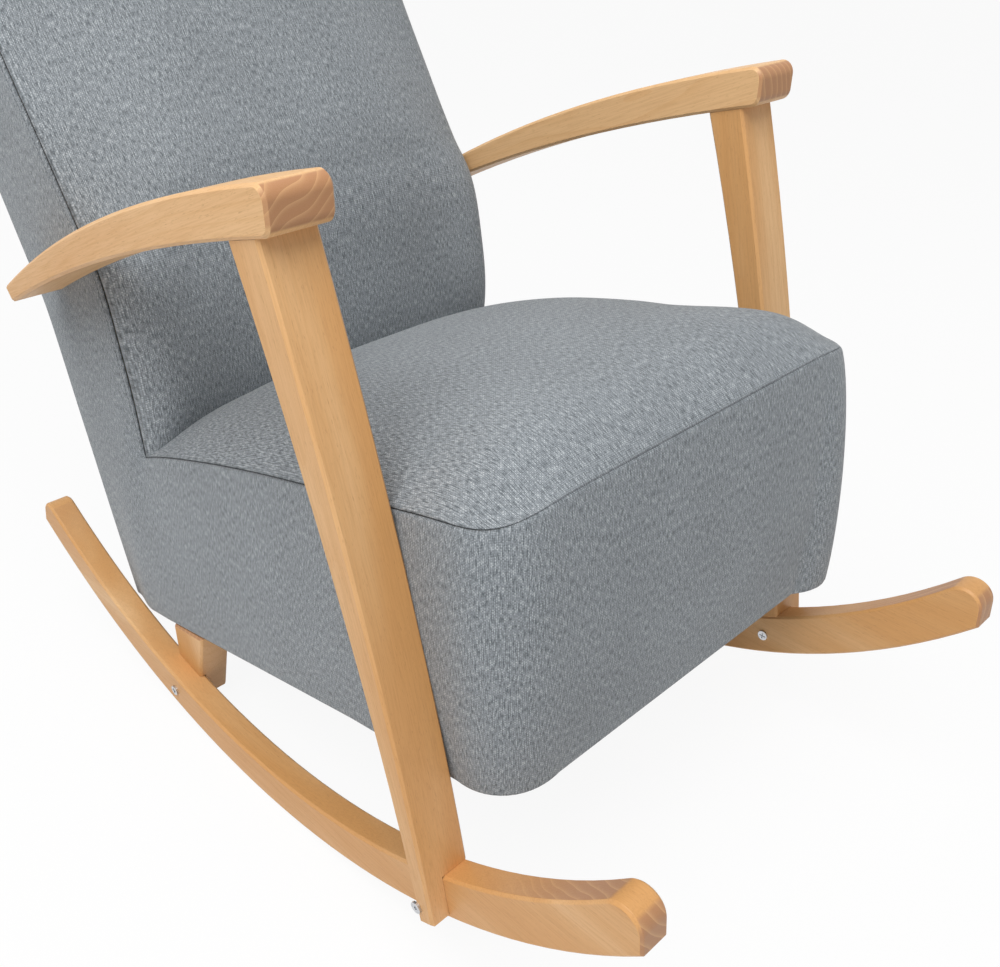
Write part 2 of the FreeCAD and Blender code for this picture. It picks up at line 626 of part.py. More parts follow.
    # side frame: lower rail, and an L-shaped board for the seat's side and the back's stile
    outline = [meet(REAR_IN_LOW, BOTTOM), meet(BOTTOM, FRONT_IN), meet(FRONT_IN, RAIL_TOP),
               meet(RAIL_TOP, REAR_IN_LOW)]
    rail = plank(f"rail{tag}_blank", outline, RAIL_INNER, "rail_width", side)
    keep(cut(f"rail{tag}_body", rail, post_holes), name_of("seat_rail", side))
    outline = [meet(REAR_IN_LOW, RAIL_TOP), meet(RAIL_TOP, FRONT_IN), meet(FRONT_IN, SPRINGS),
               meet(SPRINGS, STILE_LOW), STILE_HIGH[0], meet(STILE_HIGH, FRAME_TOP),
               meet(FRAME_TOP, REAR_IN_HIGH),
               REAR_IN_LOW[0]]
    board = plank(f"board{tag}_blank", outline, BOARD_INNER, "board", side)
    screws = [screw(f"screw{tag}_{i}", f"({BOARD_OUTER} - screw_length)", BOARD_OUTER, spot, side)
              for i, spot in enumerate(screw_spots())]
    stock("frame_screws", *screws)
    tip = f"({BOARD_OUTER} - screw_length - recess_over)"
    screw_holes[side] = [screw(f"screw_hole{tag}_{i}", tip, BOARD_OUTER, spot, side, "hole_gap")
                         for i, spot in enumerate(screw_spots())]
    keep(cut(f"board{tag}_body", board, side_holes[side] + screw_holes[side]), name_of("side_board", side))

    # side padding: one L-shaped piece down the back and along the seat
    low_edge = raised(BOTTOM, "pad_gap")
    round_line = shifted(FRONT, "corner_round")
    back_edge = (shifted(BACK_LOW, "welt_drop"), shifted(BACK_HIGH, "welt_drop"))
    pad_top = raised(TOP, "(0 - welt_drop)")
    outline = [meet(REAR_LOW, low_edge), meet(low_edge, round_line), meet(round_line, CORE_TOP),
               meet(CORE_TOP, back_edge[0]), back_edge[1][0], meet(back_edge[1], pad_top),
               meet(pad_top, REAR_HIGH), WAIST]
    pad = plank(f"side_pad{tag}_blank", outline, "uph_half - side_pad", "side_pad", side)
    keep(cut(f"side_pad{tag}_body", pad, side_holes[side]), name_of("side_pad", side))


# ---- rails across the chair ---------------------------------------------------------------------------

all_screw_holes = screw_holes[1] + screw_holes[-1]


def front_rounded(name, body, radius):
    """Body with its two front corners rounded in plan."""
    face = min(body.Shape.Faces, key=lambda f: f.CenterOfMass.y)
    corners = [e.CenterOfMass for e in face.Edges if not spans_x(e)]
    return rounded(name, body, radius, lambda e: any(e.CenterOfMass.sub(c).Length < 0.01 for c in corners))


front = slab("front_board_blank", [meet(FRONT_FACE, BOTTOM), meet(BOTTOM, FRONT_IN), meet(FRONT_IN, SPRINGS),
                                   meet(SPRINGS, FRONT_FACE)], BOARD_OUTER)
keep(front_rounded("front_board_round", front, "front_board_round"), "front_board")

rail_head = (meet(SPRINGS, SPRING_RAIL_FRONT), meet(SPRINGS, STILE_LOW))
rail_foot = raised(rail_head, "(0 - spring_rail_height)")
spring_rail = [rail_head[0], rail_foot[0], rail_foot[1], rail_head[1]]
rail = slab("spring_rail_blank", spring_rail, BOARD_INNER)
keep(cut("spring_rail_body", rail, all_screw_holes), "spring_rail")

front_rail = [meet(FRONT_IN, BOTTOM), meet(shifted(FRONT_IN, "front_rail"), BOTTOM),
              meet(shifted(FRONT_IN, "front_rail"), RAIL_TOP), meet(FRONT_IN, RAIL_TOP)]
keep(slab("front_rail_body", front_rail, RAIL_INNER), "front_rail")

rear_rail = [meet(REAR_IN_LOW, BOTTOM), meet(REAR_IN_LOW, RAIL_TOP),
             meet(shifted(REAR_IN_LOW, "(0 - rail_width)"), RAIL_TOP),
             meet(shifted(REAR_IN_LOW, "(0 - rail_width)"), BOTTOM)]
keep(slab("rear_rail_body", rear_rail, RAIL_INNER), "rear_rail")
for label, shares in (("lumbar_rail", LUMBAR_SHARES), ("crest_rail", CREST_SHARES)):
    rail = slab(f"{label}_blank", cross_rail_path(*shares), BOARD_INNER)
    keep(cut(f"{label}_body", rail, all_screw_holes), label)

blocks = []
for side in (1, -1):
    block_top = raised(SPRINGS, "(0 - block_drop)")
    front_block = [meet(FRONT_IN, RAIL_TOP), meet(FRONT_IN, block_top),
                   meet(shifted(FRONT_IN, "block"), block_top), meet(shifted(FRONT_IN, "block"), RAIL_TOP)]
    inner = shifted(SPRING_RAIL_FRONT, "(0 - block)")
    low_springs = raised(SPRINGS, "(0 - block - wire_drop - 3 * wire)")
    rear_block = [meet(inner, low_springs), meet(SPRING_RAIL_FRONT, low_springs),
                  meet(SPRING_RAIL_FRONT, raised(low_springs, "(0 - block)")),
                  meet(inner, raised(low_springs, "(0 - block)"))]
    start = f"({BOARD_INNER} - block)"
    blocks += [plank(name_of("front_block", side), front_block, start, "block", side),
               plank(name_of("rear_block", side), rear_block, start, "block", side)]
keep(together("corner_block_group", blocks), "corner_blocks")

# ---- suspension ----------------------------------------------------------------------------------------

WIRE_LINE = raised(SPRINGS, "(0 - wire_drop)")
WIRE_FRONT = meet(shifted(FRONT_IN, "(wire + clip_size / 2)"), WIRE_LINE)
WIRE_REAR = meet(shifted(SPRING_RAIL_FRONT, "(0 - wire - clip_size / 2)"), WIRE_LINE)


def zigzag():
    """Sinuous spring: straight rungs across the chair joined by half-turns, laid along the wire line."""
    start = Vector(0, val(WIRE_FRONT[0]), val(WIRE_FRONT[1]))
    end = Vector(0, val(WIRE_REAR[0]), val(WIRE_REAR[1]))
    along_way = end.sub(start)
    rungs = 2 * round(along_way.Length / val("spring_pitch") / 2) + 1  # odd, so both ends face one way
    step = along_way * (1 / (rungs - 1))
    reach = val("spring_width") / 2 - step.Length / 2
    edges = []
    for i in range(rungs):
        sign = 1 if i % 2 == 0 else -1
        here = start + step * i
        across = Vector(sign * reach, 0, 0)
        edges.append(Part.makeLine(here - across, here + across))
        if i < rungs - 1:
            turn = here + step * 0.5 + Vector(sign * (reach + step.Length / 2), 0, 0)
            edges.append(Part.Arc(here + across, turn, here + step + across).toShape())
    path = Part.Wire(edges)
    first = edges[0].Vertexes[0].Point
    ring = Part.Wire(Part.makeCircle(val("wire"), first, Vector(1, 0, 0)))
    return path.makePipeShell([ring], True, True)


COLUMNS = range(-2, 3)
spring_shape = zigzag()
springs = doc.addObject("Part::Feature", "seat_spring_group")
springs.Shape = Part.makeCompound([spring_shape.translated(Vector(i * val("spring_step"), 0, 0))
                                   for i in COLUMNS])
keep(springs, "seat_springs")

clips = []
for i in COLUMNS:
    for end, spot, face in (("front", WIRE_FRONT, FRONT_IN), ("rear", WIRE_REAR, SPRING_RAIL_FRONT)):
        name = f"{end}_clip_{i + 2}"
        middle = f"{i} * spring_step"
        body = brick(f"{name}_blank", "clip_width", "clip_size", "clip_size", f"{middle} - clip_width / 2",
                     f"({spot[0]}) - clip_size / 2", f"({spot[1]}) - clip_size / 2")
        bore = rod(f"{name}_bore", "wire + hole_gap", "clip_width + 2", f"{middle} - clip_width / 2 - 1", *spot)
        clips.append(cut(name, body, [bore]))
keep(together("spring_clip_group", clips), "spring_clips")

straps = []
for i in range(4):
    low = between(STILE_HIGH, f"{i} * strap_pitch + strap_start")
    straps.append((low, meet((low, STILE_HIGH[1]), raised((low, along(low, "1")), "strap_rise"))))
low = between(STILE_LOW, "0.5")
straps.append((low, meet((low, STILE_LOW[1]), raised((low, along(low, "1")), "strap_width"))))
bands = []
for i, (low, high) in enumerate(straps):
    front_line = shifted((low, high), "(0 - strap_thick)")
    bands.append(slab(f"strap_{i}", [low, high, front_line[1], front_line[0]], BOARD_OUTER))
keep(together("back_webbing_group", bands), "back_webbing")

# ---- padding and covers --------------------------------------------------------------------------------

IN_HALF = "(uph_half - side_pad - pad_gap)"
DEEP = raised(BOTTOM, "(0 - board)")
BEHIND = (TOP_REAR, up(TOP_REAR, "1"))
plan_outline = [meet(FRONT, DEEP), raised(FRONT, CROWN[1])[1], (TOP_REAR[0], f"2 * {CROWN[1]}"),
                meet(BEHIND, DEEP)]
PLAN = front_rounded("plan", slab("plan_blank", plan_outline, "uph_half"), "corner_round")
front_outline = [meet(FRONT, raised(BOTTOM, "pad_gap")), meet(FRONT, CORE_TOP),
                 meet(CORE_TOP, shifted(FRONT, "(corner_round - pad_gap)")),
                 meet(shifted(FRONT, "(corner_round - pad_gap)"), raised(BOTTOM, "pad_gap"))]
front = slab("front_pad_blank", front_outline, "uph_half")
front = front_rounded("front_pad_round", front, "corner_round - 2 * pad_gap")
hollow_front = shifted(FRONT, "front_pad")
hollow_rear = shifted(FRONT, "(corner_round * 2)")
hollow = slab("front_pad_hollow", [meet(hollow_front, raised(BOTTOM, "(0 - board)")),
                                   meet(hollow_front, raised(SEAM, "board")),
                                   meet(hollow_rear, raised(SEAM, "board")),
                                   meet(hollow_rear, raised(BOTTOM, "(0 - board)"))], "uph_half - side_pad")
hollow = front_rounded("front_pad_hollow_round", hollow, "front_board_round")
keep(cut("front_pad_body", front, [hollow]), "front_pad")


def core_corner(name, low, high, rear_line):
    """Block of foam or felt between two levels, from the front padding to a line at the back."""
    path = [meet(FRONT_FACE, low), meet(FRONT_FACE, high), meet(rear_line, high), meet(rear_line, low)]
    return front_rounded(f"{name}_round", slab(f"{name}_blank", path, IN_HALF), "front_board_round")


CORE_REAR = shifted(BACK_LOW, "(welt_drop - pad_gap)")
FELT_TOP = raised(SPRINGS, "felt_thick")
keep(core_corner("felt", raised(SPRINGS, "pad_gap"), FELT_TOP, CORE_REAR), "spring_felt")
keep(core_corner("core", raised(FELT_TOP, "pad_gap"), raised(CORE_TOP, "(0 - pad_gap)"), CORE_REAR),
     "seat_foam")

SEAT_BACK = ("(crease_y - seat_back_run)", "(crease_z + seat_back_rise)")
SEAT_TAIL_LINE = (SEAT_BACK, beside(SEAT_BACK, "(seat_back_run + welt_drop)", "(0 - seat_tail)"))
seat_low = raised(SEAM, "(0 - welt_drop + pad_gap)")
seat_top = [meet(FRONT, seat_low), (*EDGE, "lip_radius", False), (*CROWN, "crown_radius", False), SEAT_BACK,
            meet(SEAT_TAIL_LINE, CORE_REAR), meet(CORE_REAR, seat_low)]
pad = slab("seat_pad_blank", seat_top, "uph_half")


def crowned(edge):
    """Edges at the two sides of the crowned top."""
    return abs(getattr(edge.Curve, "Radius", 0) - val("crown_radius")) < 1


pad = rounded("seat_pad_sides", pad, "pad_round", crowned)
keep(common("seat_pad_body", pad, PLAN), "seat_pad")

rear_edge = (shifted(BACK_LOW, "(welt_drop - pad_gap)"), shifted(BACK_HIGH, "(welt_drop - pad_gap)"))
bulge_line = shifted(BACK_HIGH, "(0 - bulge)")
pad_foot = raised(SEAT_TAIL_LINE, "pad_gap")
cap_low = raised(TOP, "(0 - welt_drop - pad_gap)")
front_low = ((pad_foot[0][0], pad_foot[0][1]), ("(bend_y - lumbar_out)", "(bend_z - lumbar_low)"))
back = [front_low[0], (*front_low[1], "lumbar_radius", True), between(bulge_line, "bulge_start"),
        between(bulge_line, "bulge_end"),
        meet(BACK_HIGH, cap_low), meet(rear_edge[1], cap_low), rear_edge[0][1], meet(rear_edge[0], pad_foot)]
keep(slab("back_pad_body", back, "uph_half"), "back_pad")

top = [TOP_FRONT, TOP_REAR, meet(REAR_HIGH, raised(TOP, "(0 - welt_drop + pad_gap)")),
       meet(BACK_HIGH, raised(TOP, "(0 - welt_drop + pad_gap)"))]
cap = slab("top_pad_blank", top, "uph_half")
keep(cap, "top_pad")

inner_low, inner_high = shifted(REAR_LOW, "(0 - rear_pad)"), shifted(REAR_HIGH, "(0 - rear_pad)")
low_edge, high_edge = raised(BOTTOM, "pad_gap"), raised(TOP, "(0 - welt_drop - pad_gap)")
rear = [meet(REAR_LOW, low_edge), WAIST, meet(REAR_HIGH, high_edge), meet(inner_high, high_edge), inner_low[0],
        meet(inner_low, low_edge)]
keep(slab("outside_back_body", rear, IN_HALF), "outside_back")

under = [meet(REAR_LOW, raised(BOTTOM, "(0 - cover_thick)")), meet(REAR_LOW, BOTTOM), meet(FRONT, BOTTOM),
         meet(FRONT, raised(BOTTOM, "(0 - cover_thick)"))]
under = common("dust_cover_blank", slab("dust_cover_sheet", under, IN_HALF), PLAN)
leg_room = [plank(name_of("dust_cover_room", side),
                  [along(on_line(*raised(BOTTOM, "(0 - board)"), "post_top_front_y"), "(0 - 3 * pad_gap)"),
                   along(on_line(*raised(BOTTOM, "board"), "post_top_front_y"), "(0 - 3 * pad_gap)"),
                   along(on_line(*raised(BOTTOM, "board"), "post_top_rear_y"), "(3 * pad_gap)"),
                   along(on_line(*raised(BOTTOM, "(0 - board)"), "post_top_rear_y"), "(3 * pad_gap)")],
                  f"{POST_INNER} - pad_gap", "post_width", side) for side in (1, -1)]
keep(cut("dust_cover_body", under, leg_room), "dust_cover")

for label, shapes in fasteners.items():
    keep(together(f"{label}_group", shapes), label)

# ---- checks and export ---------------------------------------------------------------------------------

doc.recompute()
for obj in doc.Objects:
    if "Invalid" in obj.State or "Error" in obj.State:
        raise ValueError(f"{obj.Name} failed: {obj.State}")
for part in parts:
    if part.Shape.isNull() or not part.Shape.isValid() or not part.Shape.Solids:
        raise ValueError(f"{part.Label} has no valid solid")

os.makedirs("parts", exist_ok=True)
total = FreeCAD.BoundBox()
for part in parts:
    part.Shape.exportStep(f"parts/{part.Label}.step")
    total.add(part.Shape.BoundBox)
print(len(parts), "sub-parts", total)
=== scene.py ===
import bisect
import json
import math

import bmesh
import bpy
from mathutils import Matrix, Vector


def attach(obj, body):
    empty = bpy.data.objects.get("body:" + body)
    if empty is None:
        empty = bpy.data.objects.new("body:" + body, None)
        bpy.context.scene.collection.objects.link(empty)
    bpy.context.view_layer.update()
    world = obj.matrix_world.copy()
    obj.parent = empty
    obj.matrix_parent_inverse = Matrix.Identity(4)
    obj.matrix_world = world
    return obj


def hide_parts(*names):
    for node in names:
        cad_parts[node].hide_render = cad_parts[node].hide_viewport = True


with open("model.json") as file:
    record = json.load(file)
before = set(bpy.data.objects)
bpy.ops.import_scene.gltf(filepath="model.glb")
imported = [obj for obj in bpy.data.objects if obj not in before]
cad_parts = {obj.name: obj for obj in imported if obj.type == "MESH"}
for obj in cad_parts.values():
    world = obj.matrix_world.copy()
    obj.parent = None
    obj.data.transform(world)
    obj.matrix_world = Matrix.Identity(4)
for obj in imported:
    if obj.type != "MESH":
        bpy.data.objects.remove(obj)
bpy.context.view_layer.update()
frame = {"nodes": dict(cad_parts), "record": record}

scene = bpy.context.scene
nodes = frame["nodes"]
mm = 0.001
contactY = frame["record"]["mounts"][0]["pos_m"][1]  # the rockers touch the floor along this line


def spot(x, y, z):
    return Vector((x * mm, y * mm + contactY, z * mm))


def blend(a, b, share):
    return a + (b - a) * share


def ease(share):
    share = min(max(share, 0.0), 1.0)
    return share * share * (3 - 2 * share)


def tableAt(table, key):
    # smooth steps between the rows of a small table
    if key <= table[0][0]:
        return table[0][1]
    for i in range(len(table) - 1):
        (k0, v0), (k1, v1) = table[i], table[i + 1]
        if key <= k1:
            before = table[i - 1] if i else (2 * k0 - k1, 2 * v0 - v1)
            after = table[i + 2] if i + 2 < len(table) else (2 * k1 - k0, 2 * v1 - v0)
            slope0 = (v1 - before[1]) / (k1 - before[0]) * (k1 - k0)
            slope1 = (after[1] - v0) / (after[0] - k0) * (k1 - k0)
            t = (key - k0) / (k1 - k0)
            return (v0 * (2 * t ** 3 - 3 * t ** 2 + 1) + slope0 * (t ** 3 - 2 * t ** 2 + t)
                    + v1 * (3 * t ** 2 - 2 * t ** 3) + slope1 * (t ** 3 - t ** 2))
    return table[-1][1]


def edgeDrop(distance, radius):
    # how far a rolled edge falls back, this far in from the edge
    if distance >= radius:
        return 0.0
    return radius - math.sqrt(max(radius ** 2 - (radius - distance) ** 2, 0.0))


def shares(length, count, low, high):
    # close rows at both ends, even rows between them, all as shares of the length
    start = [d / length for d in low]
    end = [1 - d / length for d in reversed(high)]
    step = (end[0] - start[-1]) / (count + 1)
    return start + [start[-1] + step * k for k in range(1, count + 1)] + end


class Profile:
    # smooth curve through a few side-view points, read by its length or by its height
    def __init__(self, points):
        knots = [Vector(p) for p in points]
        knots = [knots[0] * 2 - knots[1]] + knots + [knots[-1] * 2 - knots[-2]]
        self.dense = []
        for a, b, c, d in zip(knots, knots[1:], knots[2:], knots[3:]):
            for step in range(24):
                t = step / 24
                self.dense.append(0.5 * (2 * b + (c - a) * t + (2 * a - 5 * b + 4 * c - d) * t * t
                                         + (3 * b - a - 3 * c + d) * t ** 3))
        self.dense.append(knots[-2])
        self.reach = [0.0]
        for a, b in zip(self.dense, self.dense[1:]):
            self.reach.append(self.reach[-1] + (b - a).length)
        self.heights = [p.y for p in self.dense]
        self.length = self.reach[-1]

    def at(self, reach):
        if reach <= 0 or reach >= self.length:
            end, before = (0, 1) if reach <= 0 else (-1, -2)
            along = (self.dense[end] - self.dense[before]).normalized()
            return self.dense[end] + along * (-reach if reach <= 0 else reach - self.length)
        i = bisect.bisect_left(self.reach, reach)
        span = self.reach[i] - self.reach[i - 1]
        return blend(self.dense[i - 1], self.dense[i], (reach - self.reach[i - 1]) / span)

    def reachAt(self, height):
        i = min(max(bisect.bisect_left(self.heights, height), 1), len(self.heights) - 1)
        share = (height - self.heights[i - 1]) / (self.heights[i] - self.heights[i - 1])
        return blend(self.reach[i - 1], self.reach[i], share)

    def along(self, reach):
        return (self.at(reach + 4) - self.at(reach - 4)).normalized()

    def forward(self, reach):
        # unit normal that points out of the back's front side
        along = self.along(reach)
        return Vector((-along.y, along.x))


print("stage: outlines")
shape = {  # millimetres, side view (y, z), from the line where the rockers meet the floor
    "halfWidth": 242.0, "cornerRadius": 60.0, "baseInset": 2.0, "baseCorner": 62.0,
    "seatEdge": (-349.0, 486.0), "crease": (180.0, 331.0), "creaseFoot": (208.0, 109.4),
    "baseFront": (-361.0, 219.0), "baseRear": (292.0, 93.2),
    "backSeam": [(180, 331), (181, 399), (186, 452), (196, 520), (221, 563), (262, 636), (302, 705),
                 (346, 787), (394, 879), (438, 962)],
    "backRear": [(292, 93.2), (303.5, 170), (315, 247), (325.5, 320), (335, 385), (344, 440), (352.5, 470),
                 (365, 500), (387, 551), (431, 654), (479, 766), (519, 859), (553, 936)],
    "topCorner": 30.0, "seamDip": 6.0, "cornerPower": 2.5, "rearCrease": 345.0,
    "seamBow": [(-320, 0), (-250, 2), (-150, 6), (-60, 9), (0, 9.5), (60, 8.5), (120, 6), (160, 3),
                (187, -1)],
}
halfWidth, cornerRadius = shape["halfWidth"], shape["cornerRadius"]
seatEdge, crease = shape["seatEdge"], shape["crease"]
seamSlope = (crease[1] - seatEdge[1]) / (crease[0] - seatEdge[0])
baseSlope = (shape["baseRear"][1] - shape["baseFront"][1]) / (shape["baseRear"][0] - shape["baseFront"][0])
backSeam, backRear = Profile(shape["backSeam"]), Profile(shape["backRear"])
rearLow = backRear.reachAt(shape["rearCrease"])  # how far up the rear line the seat's crease is


def seamHeight(x, y):
    # the seat's seam falls towards the back and dips a little round the two front corners
    away = (abs(x) - halfWidth + 18) ** 2 + (y - seatEdge[0] - 18) ** 2
    dip = shape["seamDip"] * math.exp(-away / (2 * 22 ** 2))
    return seatEdge[1] + seamSlope * (y - seatEdge[0]) - dip + tableAt(shape["seamBow"], y)


def baseHeight(y):
    return shape["baseFront"][1] + baseSlope * (y - shape["baseFront"][0])


# node wiring used by every material

def wire(tree, kind, inputs=None, **options):
    node = tree.nodes.new("ShaderNode" + kind)
    for key, value in options.items():
        setattr(node, key, value)
    for key, value in (inputs or {}).items():
        if isinstance(value, bpy.types.NodeSocket):
            tree.links.new(value, node.inputs[key])
        else:
            node.inputs[key].default_value = value
    return node


def calc(tree, operation, *values):
    return wire(tree, "Math", dict(enumerate(values)), operation=operation).outputs[0]


def tint(tree, share, a, b, way="MIX"):
    return wire(tree, "Mix", {0: share, 6: a, 7: b}, data_type="RGBA", blend_type=way).outputs[2]


def remap(tree, value, low, high, toLow=0.0, toHigh=1.0):
    return wire(tree, "MapRange", {0: value, 1: low, 2: high, 3: toLow, 4: toHigh},
                interpolation_type="SMOOTHSTEP").outputs[0]


def newMaterial(name, **constants):
    material = bpy.data.materials.new(name)
    material.use_nodes = True
    shader = material.node_tree.nodes["Principled BSDF"]
    for key, value in constants.items():
        shader.inputs[key.replace("_", " ")].default_value = value
    return material, material.node_tree, shader


def rgb(red, green, blue):
    return (red, green, blue, 1.0)


print("stage: materials")
weave = {  # sizes in metres, colours as linear light
    "pitch": 0.00125, "dark": rgb(0.112, 0.127, 0.139), "middle": rgb(0.235, 0.259, 0.279),
    "light": rgb(0.430, 0.460, 0.482), "roughness": 0.86, "relief": 0.00035, "contrast": 0.09, "paintedShade": 0.28,
    "wander": 0.0003, "fine": 1.1, "uprightLong": 150.0, "levelLong": 260.0, "uprightShare": 0.5,
}


def greyWeave():
    material, tree, shader = newMaterial("greyWeave", Roughness=weave["roughness"], Sheen_Weight=0.18,
                                         Sheen_Roughness=0.5, Specular_IOR_Level=0.25)
    place = wire(tree, "UVMap", uv_map="weave").outputs[0]
    wander = wire(tree, "TexNoise", {"Vector": place, "Scale": 160.0, "Detail": 1.0}).outputs["Color"]
    shift = wire(tree, "VectorMath", {0: wander, 1: (0.5, 0.5, 0.5)}, operation="SUBTRACT").outputs[0]
    shift = wire(tree, "VectorMath", {0: shift, "Scale": weave["wander"]}, operation="SCALE").outputs[0]
    moved = wire(tree, "VectorMath", {0: place, 1: shift}, operation="ADD").outputs[0]
    split = wire(tree, "SeparateXYZ", {0: moved})
    across, along = split.outputs[0], split.outputs[1]
    turn = math.pi / weave["pitch"]
    waveU = calc(tree, "SINE", calc(tree, "MULTIPLY", across, turn))
    waveV = calc(tree, "SINE", calc(tree, "MULTIPLY", along, turn))
    cell = calc(tree, "MULTIPLY", waveU, waveV)
    over = remap(tree, cell, -0.15, 0.15)

    def yarn(acrossScale, alongScale, depth):
        point = wire(tree, "CombineXYZ", {0: calc(tree, "MULTIPLY", across, acrossScale),
                                          1: calc(tree, "MULTIPLY", along, alongScale), 2: depth}).outputs[0]
        return wire(tree, "TexNoise", {"Vector": point, "Scale": 1.0, "Detail": 2.0,
                                       "Roughness": 0.6}).outputs[0]

    upright = yarn(weave["fine"] / weave["pitch"], weave["uprightLong"], 0.0)
    level = yarn(weave["levelLong"], weave["fine"] / weave["pitch"], 7.0)
    fleck = wire(tree, "Mix", {0: over, 2: level, 3: calc(tree, "ADD", upright, weave["contrast"])},
                 data_type="FLOAT").outputs[0]
    fleck = wire(tree, "Mix", {0: weave["uprightShare"], 2: fleck, 3: upright}, data_type="FLOAT").outputs[0]
    colour = tint(tree, remap(tree, fleck, 0.37, 0.53), weave["dark"], weave["middle"])
    colour = tint(tree, remap(tree, fleck, 0.52, 0.70), colour, weave["light"])
    crown = calc(tree, "POWER", calc(tree, "ABSOLUTE", cell), 0.5)
    # painted shade in the valleys between the yarns and a painted highlight on their crowns
    colour = tint(tree, 1.0, colour, wire(tree, "CombineXYZ", {
        k: remap(tree, crown, 0.0, 0.75, 0.56, 1.14) for k in range(3)}).outputs[0], "MULTIPLY")
    cloud = wire(tree, "TexNoise", {"Vector": place, "Scale": 9.0, "Detail": 2.0}).outputs[0]
    # painted shade: the cloth is darkened along its seams, in the groove where two panels meet
    paintedShade = wire(tree, "Attribute", attribute_name="paintedShade").outputs["Fac"]
    shade = calc(tree, "MULTIPLY", remap(tree, cloud, 0.3, 0.7, 0.96, 1.04),
                 calc(tree, "SUBTRACT", 1.0, calc(tree, "MULTIPLY", paintedShade, weave["paintedShade"])))
    shade = wire(tree, "CombineXYZ", {k: shade for k in range(3)}).outputs[0]
    colour = tint(tree, 1.0, colour, shade, "MULTIPLY")
    tree.links.new(colour, shader.inputs["Base Color"])
    relief = wire(tree, "Bump", {"Strength": 0.35, "Distance": weave["relief"], "Height": crown}).outputs[0]
    tree.links.new(relief, shader.inputs["Normal"])
    return material


wood = {  # sizes in metres, colours as linear light
    "pale": rgb(0.760, 0.475, 0.235), "warm": rgb(0.640, 0.330, 0.118), "fleck": rgb(0.400, 0.190, 0.065),
    "end": rgb(0.450, 0.225, 0.110), "roughness": 0.42, "ringGap": 0.008,
}


def beech(name, grain, seed, warmth):
    grain = Vector(grain).normalized()
    side = Vector((1, 0, 0))
    face = grain.cross(side).normalized()
    material, tree, shader = newMaterial(name, Specular_IOR_Level=0.4)
    texture = wire(tree, "TexCoord")
    place = texture.outputs["Object"]

    def reading(direction):
        return wire(tree, "VectorMath", {0: place, 1: direction}, operation="DOT_PRODUCT").outputs["Value"]

    along, across, through = reading(grain), reading(side), reading(face)

    def noise(alongScale, crossScale, depth, detail=2.0):
        point = wire(tree, "CombineXYZ", {0: calc(tree, "MULTIPLY_ADD", along, alongScale, seed + depth),
                                          1: calc(tree, "MULTIPLY", across, crossScale),
                                          2: calc(tree, "MULTIPLY", through, crossScale)}).outputs[0]
        return wire(tree, "TexNoise", {"Vector": point, "Scale": 1.0, "Detail": detail,
                                       "Roughness": 0.55}).outputs[0]

    broad = noise(1.6, 14.0, 0.0)
    bend = noise(2.4, 9.0, 31.0)
    reach = calc(tree, "ADD", calc(tree, "POWER", calc(tree, "ADD", across, 0.11 + 0.013 * seed), 2.0),
                 calc(tree, "POWER", calc(tree, "ADD", through, 0.35), 2.0))
    reach = calc(tree, "ADD", calc(tree, "SQRT", reach), calc(tree, "MULTIPLY", bend, 0.060))
    ring = calc(tree, "FRACT", calc(tree, "DIVIDE", reach, wood["ringGap"]))
    ring = calc(tree, "POWER", ring, 5.0)
    fibre = noise(26.0, 900.0, 11.0)
    dash = noise(150.0, 1500.0, 23.0, 1.0)
    colour = tint(tree, remap(tree, broad, 0.70 - warmth, 1.05 - warmth), wood["pale"], wood["warm"])
    colour = tint(tree, calc(tree, "MULTIPLY", ring, 0.28), colour, wood["warm"])
    colour = tint(tree, remap(tree, fibre, 0.35, 0.75, 0.0, 0.22), colour, wood["fleck"])
    colour = tint(tree, remap(tree, dash, 0.64, 0.74, 0.0, 0.42), colour, wood["fleck"])
    facing = wire(tree, "VectorMath", {0: texture.outputs["Normal"], 1: grain}, operation="DOT_PRODUCT")
    facing = remap(tree, calc(tree, "ABSOLUTE", facing.outputs["Value"]), 0.50, 0.72)
    pores = wire(tree, "TexNoise", {"Vector": place, "Scale": 1400.0, "Detail": 1.0}).outputs[0]
    endTone = tint(tree, remap(tree, pores, 0.4, 0.7, 0.0, 0.35), wood["end"], wood["fleck"])
    endTone = tint(tree, calc(tree, "MULTIPLY", ring, 0.45), endTone, wood["pale"])
    colour = tint(tree, facing, colour, endTone)
    tree.links.new(colour, shader.inputs["Base Color"])
    tree.links.new(remap(tree, fibre, 0.3, 0.8, wood["roughness"], wood["roughness"] + 0.14),
                   shader.inputs["Roughness"])
    relief = wire(tree, "Bump", {"Strength": 0.12, "Distance": 0.0003, "Height": fibre}).outputs[0]
    tree.links.new(relief, shader.inputs["Normal"])
    return material


def speckled(name, base, other, scale, low=0.4, high=0.65, stretch=(1.0, 1.0, 1.0), bump=0.2, **constants):
    # plain two-tone finish for what is mostly out of sight
    material, tree, shader = newMaterial(name, **constants)
    place = wire(tree, "TexCoord").outputs["Object"]
    place = wire(tree, "VectorMath", {0: place, 1: stretch}, operation="MULTIPLY").outputs[0]
    noise = wire(tree, "TexNoise", {"Vector": place, "Scale": scale, "Detail": 3.0}).outputs[0]
    tree.links.new(tint(tree, remap(tree, noise, low, high), base, other), shader.inputs["Base Color"])
    relief = wire(tree, "Bump", {"Strength": bump, "Distance": 0.0004, "Height": noise}).outputs[0]
    tree.links.new(relief, shader.inputs["Normal"])
    return material


